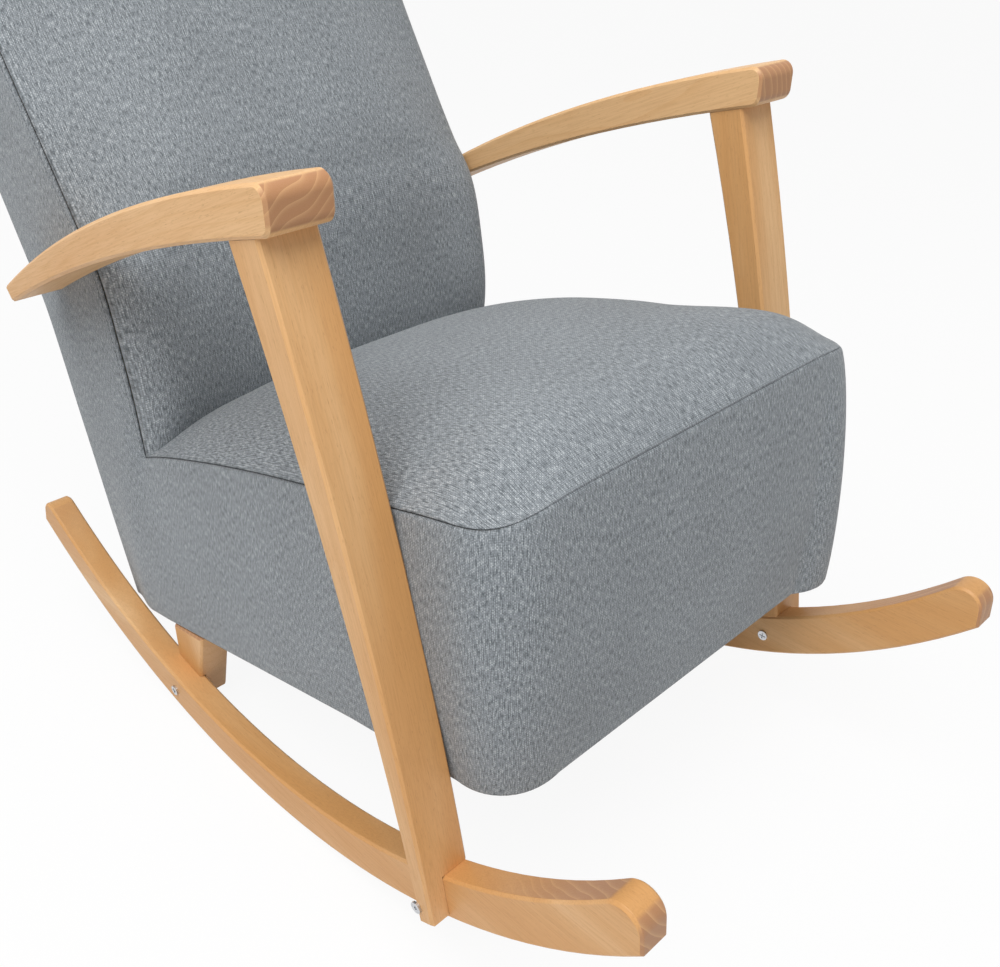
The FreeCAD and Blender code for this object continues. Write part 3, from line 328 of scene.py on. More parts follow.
fabric = greyWeave()
finishes = {
    "dowel_beech": speckled("dowelBeech", rgb(0.62, 0.38, 0.19), rgb(0.50, 0.28, 0.13), 300, Roughness=0.6,
                            stretch=(1, 1, 0.1)),
    "plywood": speckled("plywood", rgb(0.52, 0.33, 0.17), rgb(0.40, 0.24, 0.11), 60, Roughness=0.7,
                        stretch=(1, 0.1, 1)),
    "frame_timber": speckled("frameTimber", rgb(0.58, 0.38, 0.20), rgb(0.46, 0.28, 0.13), 90, Roughness=0.7,
                             stretch=(0.1, 1, 1)),
    "lining": speckled("blackLining", rgb(0.012, 0.012, 0.014), rgb(0.035, 0.035, 0.038), 900, Roughness=0.9,
                       bump=0.6),
    "foam": speckled("foam", rgb(0.72, 0.66, 0.48), rgb(0.62, 0.55, 0.38), 700, Roughness=0.95, bump=0.8),
    "felt": speckled("felt", rgb(0.22, 0.21, 0.19), rgb(0.36, 0.34, 0.30), 400, Roughness=0.95, bump=0.8),
    "webbing": speckled("webbing", rgb(0.30, 0.23, 0.13), rgb(0.16, 0.12, 0.07), 500, Roughness=0.85,
                        stretch=(0.3, 1, 1), bump=0.6),
    "spring_steel": speckled("springSteel", rgb(0.26, 0.26, 0.27), rgb(0.36, 0.36, 0.37), 200, Roughness=0.4,
                             Metallic=1.0, bump=0.1),
    "clip_plastic": speckled("clipPlastic", rgb(0.78, 0.78, 0.76), rgb(0.68, 0.68, 0.66), 300, Roughness=0.5),
    "zinc_steel": speckled("zincSteel", rgb(0.62, 0.63, 0.65), rgb(0.50, 0.51, 0.53), 500, Roughness=0.3,
                           Metallic=1.0, bump=0.1),
    "beech": speckled("plainBeech", rgb(0.68, 0.42, 0.21), rgb(0.58, 0.32, 0.14), 120, Roughness=0.45,
                      stretch=(1, 0.1, 1)),
    "cover_fabric": fabric,
}


print("stage: wood")
edges = {"width": 0.0017, "segments": 3, "angle": 25.0}
grains = {  # the direction that each board's fibres run, and how warm its tone is
    "rocker": ((0.0, 1.0, 0.0), 0.46), "armrest": ((0.0, 0.93, -0.37), 0.26),
    "front_leg": ((0.0, 0.25, 0.97), 0.36), "rear_leg": ((0.0, 0.18, 0.98), 0.42),
}


def finishMesh(mesh, name, material=None):
    # turns the mesh being built into an object in the scene
    data = bpy.data.meshes.new(name)
    mesh.to_mesh(data)
    mesh.free()
    piece = bpy.data.objects.new(name, data)
    scene.collection.objects.link(piece)
    if material:
        data.materials.append(material)
    return piece


def modifiedMesh(piece):
    return bpy.data.meshes.new_from_object(piece.evaluated_get(bpy.context.evaluated_depsgraph_get()))


def settle(piece):
    # takes the modified shape as the piece's own mesh
    data = modifiedMesh(piece)
    piece.modifiers.clear()
    piece.data = data


def softenedBoard(node, material):
    # the board's own shape with its sharp edges sanded round
    mesh = bmesh.new()
    mesh.from_mesh(nodes[node].data)
    bmesh.ops.remove_doubles(mesh, verts=mesh.verts, dist=1e-6)
    bmesh.ops.dissolve_limit(mesh, angle_limit=math.radians(0.4), verts=mesh.verts, edges=mesh.edges)
    for face in mesh.faces:
        face.smooth = True
    piece = finishMesh(mesh, node + "Board")
    bevel = piece.modifiers.new("round", "BEVEL")
    bevel.width, bevel.segments = edges["width"], edges["segments"]
    bevel.limit_method, bevel.angle_limit = "ANGLE", math.radians(edges["angle"])
    piece.modifiers.new("even", "WEIGHTED_NORMAL").keep_sharp = True
    settle(piece)
    piece.data.materials.clear()
    piece.data.materials.append(material)
    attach(piece, "root")
    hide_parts(node)


for seed, (kind, (grain, warmth)) in enumerate(grains.items()):
    for side in ("left", "right"):
        offset = seed * 3.1 + (1.7 if side == "left" else 0.0)
        softenedBoard(f"{kind}_{side}", beech(f"{kind}{side.title()}Beech", grain, offset, warmth))

for node in nodes.values():  # every part of the frame gets its own finish
    slotName = node.data.materials[0].name
    for place in range(len(node.data.materials)):
        node.data.materials[place] = finishes[slotName]


def addFace(mesh, corners, uvOf, uvLayer):
    face = mesh.faces.new(corners)
    face.smooth = True
    for loop in face.loops:
        loop[uvLayer].uv = uvOf[loop.vert]


def addGrid(mesh, grid, uvOf, uvLayer, paintedShadeLayer):
    # grid of (point, (u, v), painted shade along the seam) rows; returns its vertices
    verts = []
    for row in grid:
        verts.append([])
        for point, uv, paintedShade in row:
            vert = mesh.verts.new(point)
            vert[paintedShadeLayer] = paintedShade
            uvOf[vert] = uv
            verts[-1].append(vert)
    for i in range(len(grid) - 1):
        for j in range(len(grid[0]) - 1):
            addFace(mesh, (verts[i][j], verts[i + 1][j], verts[i + 1][j + 1], verts[i][j + 1]), uvOf, uvLayer)
    return verts


def rim(rows, columns):
    # grid places round the border, in order
    last, end = rows - 1, columns - 1
    return ([(0, j) for j in range(columns)] + [(i, end) for i in range(1, rows)]
            + [(last, j) for j in range(end - 1, -1, -1)] + [(i, 0) for i in range(last - 1, 0, -1)])


def newCloth():
    mesh = bmesh.new()
    return mesh, {}, mesh.loops.layers.uv.new("weave"), mesh.verts.layers.float.new("paintedShade")


# painted shade in the groove along a seam, fading out within 1.5 mm of it
def paintedSeamShade(distance):
    return max(0.0, 1.0 - distance / 1.5)


print("stage: seat and back cover")
cover = {  # millimetres; hipLine is where the hips start, how far they grow, where they end and fade
    "sideSwell": 5.0, "frontSwell": 8.5, "backSwell": 4.0, "topRoll": 2.2, "baseRoll": 3.5, "rearRoll": 5.0,
    "hip": 11.0, "hipLine": (-150.0, 340.0, 288.0, 60.0), "thick": 4.0, "fullCorner": 24.0,
    "plainCorner": 6.0, "flare": 8.0, "rowsUp": 34, "rowsDeep": 22,
}


def swollen(share):
    return max(4 * share * (1 - share), 0.0) ** 0.8


def cornerReach(angle):
    # a corner a little squarer than a circle
    power = shape["cornerPower"]
    return (math.cos(angle) ** power + math.sin(angle) ** power) ** (-1 / power)


def hipFlare(y, v):
    # the sides stand out low down, between the front legs and the rockers' tails
    start, grow, end, fade = cover["hipLine"]
    return cover["hip"] * min(max((y - start) / grow, 0.0), 1.0) * ease((end - y) / fade) * (1 - v)


def halfOutline(sign):
    # from the rear line along one side and round the corner to the middle of the front
    full = cover["fullCorner"] if sign > 0 else cover["plainCorner"]
    flare = cover["flare"] if sign > 0 else 0.0
    front, baseHalf = seatEdge[0], halfWidth - shape["baseInset"]
    topStart, baseStart = front + cornerRadius, shape["baseFront"][0] + shape["baseCorner"]
    columns = []  # seam point, base point, way out, swell, arc beyond the straight side, extra low down
    for k in range(80):
        t = k / 80
        top = Vector((halfWidth, blend(crease[0], topStart, t)))
        base = Vector((baseHalf, blend(shape["creaseFoot"][0], baseStart, t)))
        columns.append((top, base, Vector((1, 0)), cover["sideSwell"], 0.0, 0.0))
    for k in range(17):
        angle = k / 16 * math.pi / 2
        out = Vector((math.cos(angle), -math.sin(angle)))
        top = Vector((halfWidth - cornerRadius, topStart)) + out * cornerRadius * cornerReach(angle)
        base = Vector((baseHalf - shape["baseCorner"], baseStart)) + out * shape["baseCorner"]
        swell = blend(cover["sideSwell"], cover["frontSwell"], ease(angle / (math.pi / 2)))
        extra = full * math.sin(2 * angle) ** 1.2 + flare * math.sin(angle) ** 2 * math.cos(angle)
        columns.append((top, base, out, swell, angle * cornerRadius, extra))
    for k in range(1, 31):
        t = k / 30
        top = Vector(((halfWidth - cornerRadius) * (1 - t), front))
        base = Vector(((baseHalf - shape["baseCorner"]) * (1 - t), shape["baseFront"][0]))
        columns.append((top, base, Vector((0, -1)), cover["frontSwell"],
                        cornerRadius * math.pi / 2 + (halfWidth - cornerRadius) * t, 0.0))
    return columns


def coverPoint(column, v, sign):
    top, base, out, swell, beyond, extra = column
    place = blend(base, top, v)
    low, high = baseHeight(base.y), seamHeight(top.x, top.y)
    height = high - low
    push = (swell * swollen(v) - edgeDrop((1 - v) * height, cover["topRoll"])
            - edgeDrop(v * height, cover["baseRoll"]) + extra * (1 - v) ** 0.7)
    if out.x == 1:
        push += hipFlare(place.y, v)
    moved = place + out * push
    start = -place.y if beyond == 0 else -blend(shape["baseFront"][0] + shape["baseCorner"],
                                                seatEdge[0] + cornerRadius, v)
    z = blend(low, high, v)
    return (spot(sign * moved.x, moved.y, z), ((start + beyond) * mm, z * mm), paintedSeamShade((1 - v) * height))


def hemRows(row, sign, tops):
    # the cover turned under and stapled along its lower edge
    rows = []
    for inset, lift in ((12.0, 0.3), (4.0, 0.3), (0.8, 0.2)):
        hem = []
        for (point, uv, _), out in zip(row, tops):
            moved = point - Vector((sign * out.x, out.y, 0)) * inset * mm
            moved.z = (baseHeight((moved.y - contactY) / mm) + lift) * mm
            hem.append((moved, uv, 0.0))
        rows.append(hem)
    return rows


upRows = shares(260.0, cover["rowsUp"], [0, 0.7, 1.8, 3.4, 6.0, 11.0], [0, 0.5, 1.1, 2.2, 5.0, 10.0])
deepRows = shares(130.0, cover["rowsDeep"], [0, 0.5, 1.1, 2.2, 4.5, 9.0], [0, 0.5, 1.4, 2.8, 5.0, 9.0])


def backSections():
    # the back's side from its foot, up past the seat, round the top corner to the middle of the top
    firstColumn = halfOutline(-1)[0]
    sections = [("low", v, firstColumn) for v in upRows]  # kind, how far along it, what else it needs
    straight = backSeam.length - shape["topCorner"]
    rearStraight = backRear.length - shape["topCorner"]
    for k in range(1, 71):
        t = k / 70
        sections.append(("side", t * straight, blend(rearLow, rearStraight, t)))
    sections += [("corner", k / 12 * math.pi / 2, None) for k in range(1, 13)]
    sections += [("top", k / 30, None) for k in range(1, 31)]
    return sections


def backPoint(section, w, sign):
    kind, a, b = section
    half, corner = halfWidth, shape["topCorner"]
    if kind == "low":
        front, _, _ = coverPoint(b, a, 1)
        frontLine = Vector(((front.y - contactY) / mm, front.z / mm))
        rear = backRear.at(a * rearLow)
        place = blend(frontLine, rear, w)
        depth = (rear - frontLine).length
        height = (backRear.at(rearLow) - backRear.at(0)).length
        rise = min(a, 0.5)
        free = cover["sideSwell"] * swollen(rise) * (1 - w ** 3) - edgeDrop(a * height, cover["baseRoll"])
        free += hipFlare(place.x, a) - edgeDrop((1 - w) * depth, cover["rearRoll"])
        x = blend(front.x / mm, blend(half - shape["baseInset"], half, a) + free, ease(w * depth / 30))
        return spot(sign * x, place.x, place.y), (-place.x * mm, place.y * mm), 0.0
    straight = backSeam.length - corner
    rearStraight = backRear.length - corner
    if kind == "side":
        reach, rearReach, x, angle, beyond = a, b, half, 0.0, 0.0
    elif kind == "corner":
        reach, rearReach = straight + corner * math.sin(a), rearStraight + corner * math.sin(a)
        x, angle, beyond = half - corner + corner * math.cos(a), a, corner * a
    else:
        reach, rearReach, x, angle = backSeam.length, backRear.length, (half - corner) * (1 - a), math.pi / 2
        beyond = corner * math.pi / 2 + (half - corner) * a
    frontLine, rear = backSeam.at(reach), backRear.at(rearReach)
    place, depth = blend(frontLine, rear, w), (rear - frontLine).length
    start = ease(reach / 130)
    nearCrease = cover["sideSwell"] * (1 - w ** 3) * ease(w * depth / 30)
    swell = blend(nearCrease, cover["backSwell"] * swollen(w), start)
    out = swell - edgeDrop(w * depth, cover["topRoll"]) - edgeDrop((1 - w) * depth, cover["rearRoll"])
    up = blend(backSeam.along(min(reach, backSeam.length - 5)), backRear.along(rearReach - 5), w).normalized()
    x += out * math.cos(angle)
    place = place + up * out * math.sin(angle)
    level = place.y if kind == "side" else backSeam.at(straight).y + beyond
    return spot(sign * x, place.x, place.y), (-place.x * mm, level * mm), paintedSeamShade(min(w, 1 - w) * depth)


mesh, uvOf, uvLayer, paintedShadeLayer = newCloth()
for sign in (-1, 1):
    columns = halfOutline(sign)
    rows = [[coverPoint(column, v, sign) for column in columns] for v in upRows]
    outs = [column[2] for column in columns]
    addGrid(mesh, hemRows(rows[0], sign, outs) + rows, uvOf, uvLayer, paintedShadeLayer)
    sections = backSections()
    rows = [[backPoint(section, w, sign) for w in deepRows] for section in sections]
    outs = [Vector((1, 0))] * len(deepRows)
    addGrid(mesh, hemRows(rows[0], sign, outs) + rows, uvOf, uvLayer, paintedShadeLayer)
bmesh.ops.remove_doubles(mesh, verts=mesh.verts, dist=2e-5)
bmesh.ops.recalc_face_normals(mesh, faces=mesh.faces)
outward = sum(1 if face.normal.x * face.calc_center_median().x > 0 else -1 for face in mesh.faces
              if abs(face.normal.x) > 0.9)
if outward < 0:
    bmesh.ops.reverse_faces(mesh, faces=mesh.faces)
bodyCover = finishMesh(mesh, "bodyCover", fabric)
shell = bodyCover.modifiers.new("shell", "SOLIDIFY")
shell.thickness, shell.offset = cover["thick"] * mm, -1.0
settle(bodyCover)
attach(bodyCover, "root")
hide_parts("side_pad_left", "side_pad_right", "front_pad", "top_pad")


def pillow(name, front, lip, back):
    # closed pad: a shaped front sheet, a narrow flat lip just inside its border, and a plain back sheet
    mesh, uvOf, uvLayer, paintedShadeLayer = newCloth()
    faceVerts = addGrid(mesh, front, uvOf, uvLayer, paintedShadeLayer)
    backVerts = addGrid(mesh, back, uvOf, uvLayer, paintedShadeLayer)
    border = rim(len(front), len(front[0]))
    lipVerts = []
    for (i, j), point in zip(border, lip):
        vert = mesh.verts.new(point)
        uvOf[vert] = front[i][j][1]
        lipVerts.append(vert)
    for k, (i, j) in enumerate(border):
        m, n = border[(k + 1) % len(border)]
        a, b = lipVerts[k], lipVerts[(k + 1) % len(border)]
        addFace(mesh, (faceVerts[i][j], faceVerts[m][n], b, a), uvOf, uvLayer)
        addFace(mesh, (a, b, backVerts[m][n], backVerts[i][j]), uvOf, uvLayer)
    mesh.verts.index_update()
    free = [faceVerts[i][j].index for i in range(2, len(front) - 2) for j in range(2, len(front[0]) - 2)]
    bmesh.ops.recalc_face_normals(mesh, faces=mesh.faces)
    return finishMesh(mesh, name, fabric), free


def inflate(piece, free, pressure, cap, frames=20):
    # cloth under pressure, held along its seams, that may move only so far
    before = [v.co.copy() for v in piece.data.vertices]
    held = piece.vertex_groups.new(name="held")
    loose = set(free)
    held.add([v.index for v in piece.data.vertices if v.index not in loose], 1.0, "REPLACE")
    cloth = piece.modifiers.new("cloth", "CLOTH")
    settings = cloth.settings
    settings.quality, settings.mass = 6, 0.3
    settings.use_pressure, settings.uniform_pressure_force = True, pressure
    settings.vertex_group_mass = "held"
    settings.tension_stiffness = settings.compression_stiffness = 30
    settings.shear_stiffness, settings.bending_stiffness = 12, 2.0
    settings.effector_weights.gravity = 0
    cloth.collision_settings.use_collision = False
    cloth.point_cache.frame_start, cloth.point_cache.frame_end = 1, frames
    for step in range(1, frames + 1):
        scene.frame_set(step)
    data = modifiedMesh(piece)
    moves = [vert.co - start for vert, start in zip(data.vertices, before)]
    moves = [move.normalized() * cap * mm if move.length > cap * mm else move for move in moves]
    near = [[] for _ in moves]
    for edge in data.edges:
        a, b = edge.vertices
        near[a].append(b)
        near[b].append(a)
    for _ in range(25):  # irons out the folds and keeps the swell
        moves = [sum((moves[n] for n in near[k]), move) / (len(near[k]) + 1) if k in loose else move
                 for k, move in enumerate(moves)]
    largest = max(move.length for move in moves)
    for vert, start, move in zip(data.vertices, before, moves):
        vert.co = start + move
    piece.modifiers.clear()
    piece.vertex_groups.clear()
    piece.data = data
    scene.frame_set(1)
    print(f"  {piece.name}: moved up to {largest / mm:.1f} mm")


def finishPad(piece, free, pressure, cap, slotName, fill, *nodeNames):
    inflate(piece, free, pressure, cap)
    smooth = piece.modifiers.new("smooth", "SUBSURF")
    smooth.levels = smooth.render_levels = 1
    settle(piece)
    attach(piece, "root")
    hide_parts(*nodeNames)


print("stage: seat pad")
seat = {  # millimetres; crown is (distance from the floor contact, height over the seam)
    "crown": [(-349, 50), (-313, 55), (-250, 56), (-176, 57), (-130, 60), (-31, 61), (83, 52), (130, 40),
              (163, 32), (187, 30)],
    "sideReach": 200.0, "sidePower": 4.5, "frontReach": 120.0, "frontPower": 3.0, "rearRoll": 10.0,
    "rearEdge": 187.0, "rearDraw": 24.0, "lip": 7.0, "under": 13.0, "seamInset": 1.1, "columns": 70,
    "rows": 62, "pressure": 3.0, "cap": 24.0, "slack": 0.96, "fill": 0.75,
}


edgeRows = [0, 0.7, 1.5, 3.0, 6.0, 11.0]


def rearShape(xi):
    # nearly level across, falling off close to both sides
    return max(1 - abs(xi) ** 16, 0.0) ** 0.55


def seatSurface(slack):
    inset = seat["seamInset"]
    columnShares = shares(2 * halfWidth, seat["columns"], edgeRows, edgeRows)
    rows = []  # first round the front corners, then straight back
    places = [(math.pi / 2 * (1 - a), None)
              for a in (0, 0.045, 0.09, 0.15, 0.24, 0.34, 0.45, 0.56, 0.67, 0.78, 0.89)]
    deep = shares(470.0, seat["rows"], [0.0, 6.0], [0, 0.7, 1.6, 3.2, 6.0, 10.0])
    places += [(0.0, t) for t in deep]
    for angle, t in places:
        row = []
        w = halfWidth - cornerRadius + (cornerRadius * cornerReach(angle) - inset) * math.cos(angle)
        for s in columnShares:
            xi = 2 * s - 1
            x = xi * w
            rear = seat["rearEdge"] - seat["rearDraw"] * rearShape(min(abs(xi), 1.0))
            if t is None:
                y = seatEdge[0] + cornerRadius - (cornerRadius * cornerReach(angle) - inset) * math.sin(angle)
            else:
                y = blend(seatEdge[0] + cornerRadius, rear, t)
            side, front, back = w - abs(x), y - seatEdge[0] - inset, rear - y
            lift = tableAt(seat["crown"], y) * slack
            lift *= 1 - (1 - min(side, seat["sideReach"]) / seat["sideReach"]) ** seat["sidePower"]
            lift *= 1 - (1 - min(front, seat["frontReach"]) / seat["frontReach"]) ** seat["frontPower"]
            nearest = min(side, front)
            lift += 1 - edgeDrop(nearest, 1.5) / 1.5
            lift -= edgeDrop(back, seat["rearRoll"]) * min(1.0, lift / 14)
            z = seamHeight(x, y) + 0.3 + lift
            # painted seam shade, left out where the pad meets the back
            shade = paintedSeamShade(min(nearest, back)) if back > 1 else 0.0  # no dark line where it meets the back
            row.append((spot(x, y, z), (x * mm, -y * mm), shade))
        rows.append(row)
    return rows


def sunk(rows, inset, depth):
    # the pad's outline drawn in and lowered below its seam
    grid = []
    for row in rows:
        grid.append([])
        for point, uv, _ in row:
            x, y = point.x / mm, (point.y - contactY) / mm
            x *= 1 - inset / halfWidth
            y = -90 + (y + 90) * (1 - inset / 260)
            grid[-1].append((spot(x, y, seamHeight(x, y) - depth), uv, 0.0))
    return grid


top = seatSurface(seat["slack"])
lipGrid, under = sunk(top, seat["lip"], -0.4), sunk(top, seat["lip"] + 1.5, seat["under"])
lip = [lipGrid[i][j][0] for i, j in rim(len(top), len(top[0]))]
seatPad, free = pillow("seatPad", top, lip, under)
finishPad(seatPad, free, seat["pressure"], seat["cap"], "cover_fabric", seat["fill"], "seat_pad")


print("stage: back pad")
back = {  # millimetres; crown is (height above the floor, depth in front of the side seams)
    "crown": [(331, 26), (383, 44), (440, 50), (500, 46), (563, 36), (636, 28), (705, 24), (800, 20),
              (900, 14), (965, 6)],
    "lip": 6.0, "under": 12.0, "seamInset": 1.1, "columns": 70, "rows": 92, "pressure": 3.0, "cap": 22.0,
    "slack": 0.97, "fill": 0.7,
}


def backHalf(reach, inset):
    corner = shape["topCorner"]
    over = min(max(reach - (backSeam.length - corner), 0.0), corner - inset)
    return halfWidth - corner + math.sqrt(max((corner - inset) ** 2 - over ** 2, 0.0))


def backSurface(slack):
    inset = back["seamInset"]
    columnShares = shares(2 * halfWidth, back["columns"], edgeRows, edgeRows)
    top = backSeam.length - inset
    corner = shape["topCorner"]
    straight = backSeam.length - corner
    reaches = [straight * t for t in shares(straight, back["rows"], [0.0, 4.0], [0.0, 6.0])]
    reaches += [straight + (corner - inset) * math.sin(math.pi / 2 * a)
                for a in (0.12, 0.24, 0.36, 0.48, 0.59, 0.69, 0.78, 0.86, 0.92, 0.96, 1.0)]
    rows = []
    for reach in reaches:
        line, ahead = backSeam.at(reach), backSeam.forward(min(reach, backSeam.length - 5))
        w = backHalf(reach, inset)
        row = []
        for s in columnShares:
            xi = 2 * s - 1
            x, over = xi * w, top - reach
            side = w - abs(x)
            depth = tableAt(back["crown"], line.y) * slack * rearShape(min(abs(xi), 1.0))
            depth *= 1 - (1 - min(over, 60) / 60) ** 3
            depth += 1 - edgeDrop(min(side, over), 1.5) / 1.5
            place = line + ahead * (depth + 0.3)
            row.append((spot(x, place.x, place.y), (x * mm, reach * mm), paintedSeamShade(min(side, over))))
        rows.append(row)
    return rows, reaches


def backSunk(rows, reaches, inset, depth):
    grid = []
    for row, reach in zip(rows, reaches):
        drawn = blend(backSeam.length / 2, reach, 1 - inset / (backSeam.length / 2))
        line, ahead = backSeam.at(drawn), backSeam.forward(min(drawn, backSeam.length - 5))
        place = line - ahead * depth
        grid.append([(spot(point.x / mm * (1 - inset / halfWidth), place.x, place.y), uv, 0.0)
                     for point, uv, _ in row])
    return grid


sheet, reaches = backSurface(back["slack"])
lipGrid = backSunk(sheet, reaches, back["lip"], -0.4)
under = backSunk(sheet, reaches, back["lip"] + 1.5, back["under"])
lip = [lipGrid[i][j][0] for i, j in rim(len(sheet), len(sheet[0]))]
backPad, free = pillow("backPad", sheet, lip, under)
finishPad(backPad, free, back["pressure"], back["cap"], "cover_fabric", back["fill"], "back_pad")


print("stage: outside back and lining")
outer = {"half": 236.4, "swell": 4.0, "columns": 34, "rows": 60, "under": 4.0, "roll": 2.0}  # millimetres


def outerBack():
    rows, under = [], []
    low, high = 1.5, backRear.length - 3.0
    for t in shares(high - low, outer["rows"], [0, 0.6, 1.4, 3.0], [0, 0.6, 1.4, 3.0]):
        reach = blend(low, high, t)
        line, behind = backRear.at(reach), -backRear.forward(reach)
        over = max(reach - (backRear.length - shape["topCorner"]), 0.0)
        half = outer["half"] - (shape["topCorner"] - math.sqrt(max(shape["topCorner"] ** 2 - over ** 2, 0.0)))
        rows.append([])
        under.append([])
        for s in shares(2 * half, outer["columns"], [0, 0.6, 1.4, 3.0], [0, 0.6, 1.4, 3.0]):
            x = (2 * s - 1) * half
            edge = min(half - abs(x), reach - low, high - reach)
            depth = outer["swell"] * swollen(s) * swollen(t) ** 0.4 - edgeDrop(edge, outer["roll"])
            place = line + behind * depth
            rows[-1].append((spot(x, place.x, place.y), (x * mm, reach * mm), paintedSeamShade(edge)))
            place = line - behind * outer["under"]
            under[-1].append((spot(x * 0.985, place.x, place.y), (x * mm, reach * mm), 0.0))
    return rows, under


sheet, under = outerBack()
lip = [under[i][j][0] * 0.5 + sheet[i][j][0] * 0.5 for i, j in rim(len(sheet), len(sheet[0]))]
outsideBack, _ = pillow("outsideBack", sheet, lip, under)
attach(outsideBack, "root")
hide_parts("outside_back")


def repeatTree():
    # small rounded pieces laid end to end along a line
    tree = bpy.data.node_groups.new("alongLine", "GeometryNodeTree")
    sockets = tree.interface
    sockets.new_socket("Geometry", in_out="INPUT", socket_type="NodeSocketGeometry")
    for name in ("Pitch", "Length", "Width", "Height"):
        sockets.new_socket(name, in_out="INPUT", socket_type="NodeSocketFloat")
    sockets.new_socket("Material", in_out="INPUT", socket_type="NodeSocketMaterial")
    sockets.new_socket("Geometry", in_out="OUTPUT", socket_type="NodeSocketGeometry")
    add, link = tree.nodes.new, tree.links.new
    given, result = add("NodeGroupInput"), add("NodeGroupOutput")
    line, sampled = add("GeometryNodeMeshToCurve"), add("GeometryNodeResampleCurve")
    sampled.mode = "LENGTH"
    bead, size = add("GeometryNodeMeshUVSphere"), add("ShaderNodeCombineXYZ")
    laid = add("GeometryNodeInstanceOnPoints")
    bead.inputs["Segments"].default_value, bead.inputs["Rings"].default_value = 6, 4
    bead.inputs["Radius"].default_value = 0.5
    turn = add("FunctionNodeAxesToRotation")
    tangent, normal = add("GeometryNodeInputTangent"), add("GeometryNodeInputNormal")
    turn.primary_axis, turn.secondary_axis = "Z", "X"
    real, shade = add("GeometryNodeRealizeInstances"), add("GeometryNodeSetMaterial")
    link(given.outputs["Geometry"], line.inputs[0])
    link(line.outputs[0], sampled.inputs["Curve"])
    link(given.outputs["Pitch"], sampled.inputs["Length"])
    link(sampled.outputs[0], laid.inputs["Points"])
    link(bead.outputs["Mesh"], laid.inputs["Instance"])
    for name, place in (("Height", "X"), ("Width", "Y"), ("Length", "Z")):
        link(given.outputs[name], size.inputs[place])
    link(size.outputs[0], laid.inputs["Scale"])
    link(tangent.outputs[0], turn.inputs["Primary Axis"])
    link(normal.outputs[0], turn.inputs["Secondary Axis"])
    link(turn.outputs[0], laid.inputs["Rotation"])
    link(laid.outputs[0], real.inputs[0])
    link(real.outputs[0], shade.inputs["Geometry"])
    link(given.outputs["Material"], shade.inputs["Material"])
    link(shade.outputs[0], result.inputs[0])
    return tree


lineTree = repeatTree()


def alongLines(name, lines, material, sizes):
    mesh = bmesh.new()
    for line in lines:
        verts = [mesh.verts.new(point) for point in line]
        for a, b in zip(verts, verts[1:]):
            mesh.edges.new((a, b))
    piece = finishMesh(mesh, name)
    repeat = piece.modifiers.new("repeat", "NODES")
    repeat.node_group = lineTree
    for socket in lineTree.interface.items_tree:
        if socket.in_out == "INPUT" and socket.name in sizes:
            repeat[socket.identifier] = sizes[socket.name] * mm
        elif socket.in_out == "INPUT" and socket.name == "Material":
            repeat[socket.identifier] = material
    settle(piece)
    for polygon in piece.data.polygons:
        polygon.use_smooth = True
    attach(piece, "root")


print("stage: stitches and lining")
stitch = {"Pitch": 4.5, "Length": 3.6, "Width": 0.8, "Height": 0.8, "inset": 4.0}  # millimetres
staple = {"Pitch": 38.0, "Length": 10.0, "Width": 1.2, "Height": 0.9, "inset": 6.0}
lining = {"half": 224.0, "front": -345.0, "rear": 284.0, "corner": 50.0, "sag": 4.0, "thick": 0.8,
          "stapleDrop": 1.6}


def stitchLine(sign):
    # beside the back's front seam, closing in on it at the crease
    points = []
    for section in backSections():
        if section[0] == "low":
            continue
        reach = section[1] if section[0] == "side" else 999
        inset = blend(1.8, stitch["inset"], ease(reach / 90))
        points.append(backPoint(section, inset / 110.0, sign)[0])
    return points


thread = speckled("thread", rgb(0.07, 0.085, 0.10), rgb(0.12, 0.14, 0.16), 900, Roughness=0.8)
alongLines("backStitches", [stitchLine(-1), stitchLine(1)], thread, stitch)


def liningHalf(y):
    over = max(lining["front"] + lining["corner"] - y, 0.0)
    return lining["half"] - lining["corner"] + math.sqrt(max(lining["corner"] ** 2 - over ** 2, 0.0))


mesh, uvOf, uvLayer, paintedShadeLayer = newCloth()
rows, border = [], {-1: [], 1: []}
depths = [lining["front"] + d for d in (0, 1, 3, 7, 13, 21, 31, 42, 50)]
depths += [blend(depths[-1], lining["rear"], k / 40) for k in range(1, 41)]
for y in depths:
    half, t = liningHalf(y), (y - depths[0]) / (depths[-1] - depths[0])
    rows.append([])
    for k in range(41):
        s = k / 40
        sag = lining["sag"] * swollen(s) * swollen(t)
        x = (2 * s - 1) * half
        rows[-1].append((spot(x, y, baseHeight(y) - 0.4 - sag), (x * mm, y * mm), 0.0))
    for sign in (-1, 1):
        border[sign].append(spot(sign * (half - staple["inset"]), y, baseHeight(y) - lining["stapleDrop"]))
addGrid(mesh, rows, uvOf, uvLayer, paintedShadeLayer)
baseLining = finishMesh(mesh, "baseLining", finishes["lining"])
shell = baseLining.modifiers.new("shell", "SOLIDIFY")
shell.thickness, shell.offset = lining["thick"] * mm, 0.0
settle(baseLining)
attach(baseLining, "root")
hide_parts("dust_cover")
ends = [[spot(x, y, baseHeight(y) - lining["stapleDrop"]) for x in range(-160, 161, 20)]
        for y in (lining["front"] + 7, lining["rear"] - 7)]
alongLines("liningStaples", [border[-1][4:-1], border[1][4:-1]] + ends, finishes["zinc_steel"],
           staple)


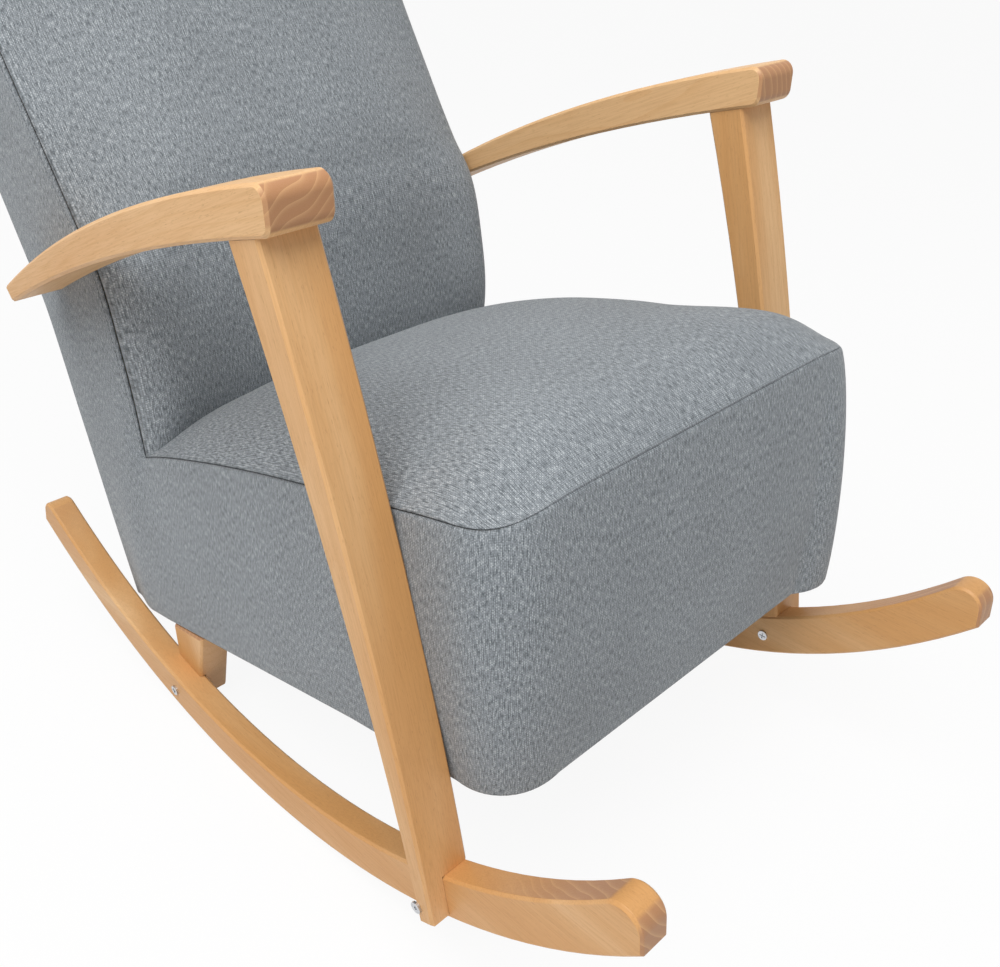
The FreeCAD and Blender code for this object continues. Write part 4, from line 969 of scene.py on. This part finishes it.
print("stage: light and camera")
view = {  # metres
    "from": (-0.6544, -0.7838, 0.8802), "forward": (0.5768, 0.5854, -0.5698), "right": (0.7124, -0.7018, 0.0),
    "lens": 37.79, "shift": (0.0022, 0.069),
}
camera = bpy.data.objects.new("camera", bpy.data.cameras.new("camera"))
scene.collection.objects.link(camera)
forward, right = Vector(view["forward"]).normalized(), Vector(view["right"]).normalized()
upward = right.cross(forward)
camera.matrix_world = Matrix((
    (right.x, upward.x, -forward.x, view["from"][0]), (right.y, upward.y, -forward.y, view["from"][1]),
    (right.z, upward.z, -forward.z, view["from"][2]), (0, 0, 0, 1)))
camera.data.lens, camera.data.sensor_width = view["lens"], 36.0
camera.data.shift_x, camera.data.shift_y = view["shift"]
camera.data.clip_start = 0.02
scene.camera = camera

lamps = {  # place, aim, size in metres, watts
    "key": ((-1.2, -0.7, 3.0), (0.0, 0.0, 0.4), 2.8, 94.0),
    "fill": ((0.6, -2.6, 1.3), (0.0, 0.0, 0.4), 2.2, 0.5),
}
for name, (where, aim, size, power) in lamps.items():
    lamp = bpy.data.lights.new(name, "AREA")
    lamp.shape, lamp.size, lamp.energy = "DISK", size, power
    holder = bpy.data.objects.new(name, lamp)
    scene.collection.objects.link(holder)
    holder.location = where
    holder.rotation_euler = (Vector(aim) - Vector(where)).to_track_quat("-Z", "Y").to_euler()

backdrop = {"ambient": 0.35, "floorShare": 0.08, "floorSize": 9.0}
world = bpy.data.worlds.new("studio")
scene.world = world
world.use_nodes = True
sky = world.node_tree
rays = wire(sky, "LightPath")
seen = calc(sky, "MAXIMUM", rays.outputs["Is Camera Ray"], rays.outputs["Is Glossy Ray"])
seen = calc(sky, "MAXIMUM", seen, rays.outputs["Is Transmission Ray"])
strength = wire(sky, "Mix", {0: seen, 2: backdrop["ambient"], 3: 1.0}, data_type="FLOAT").outputs[0]
background = sky.nodes["Background"]
background.inputs["Color"].default_value = rgb(1, 1, 1)
sky.links.new(strength, background.inputs["Strength"])

floorMesh = bmesh.new()
bmesh.ops.create_grid(floorMesh, x_segments=12, y_segments=12, size=backdrop["floorSize"])
floor = finishMesh(floorMesh, "floor")
floor.location.z = -0.0003  # just under the rockers
paper, tree, shader = newMaterial("floorPaper", Roughness=0.9, Base_Color=rgb(0.86, 0.86, 0.86))
rays = wire(tree, "LightPath")
seen = calc(tree, "MAXIMUM", rays.outputs["Is Camera Ray"], rays.outputs["Is Glossy Ray"])
glow = wire(tree, "Emission", {"Color": rgb(1, 1, 1), "Strength": 1.0}).outputs[0]
mixed = wire(tree, "MixShader", {0: calc(tree, "MULTIPLY", seen, 1 - backdrop["floorShare"]),
                                 1: shader.outputs[0], 2: glow}).outputs[0]
tree.links.new(mixed, tree.nodes["Material Output"].inputs["Surface"])
floor.data.materials.append(paper)
scene.view_settings.view_transform = "Standard"
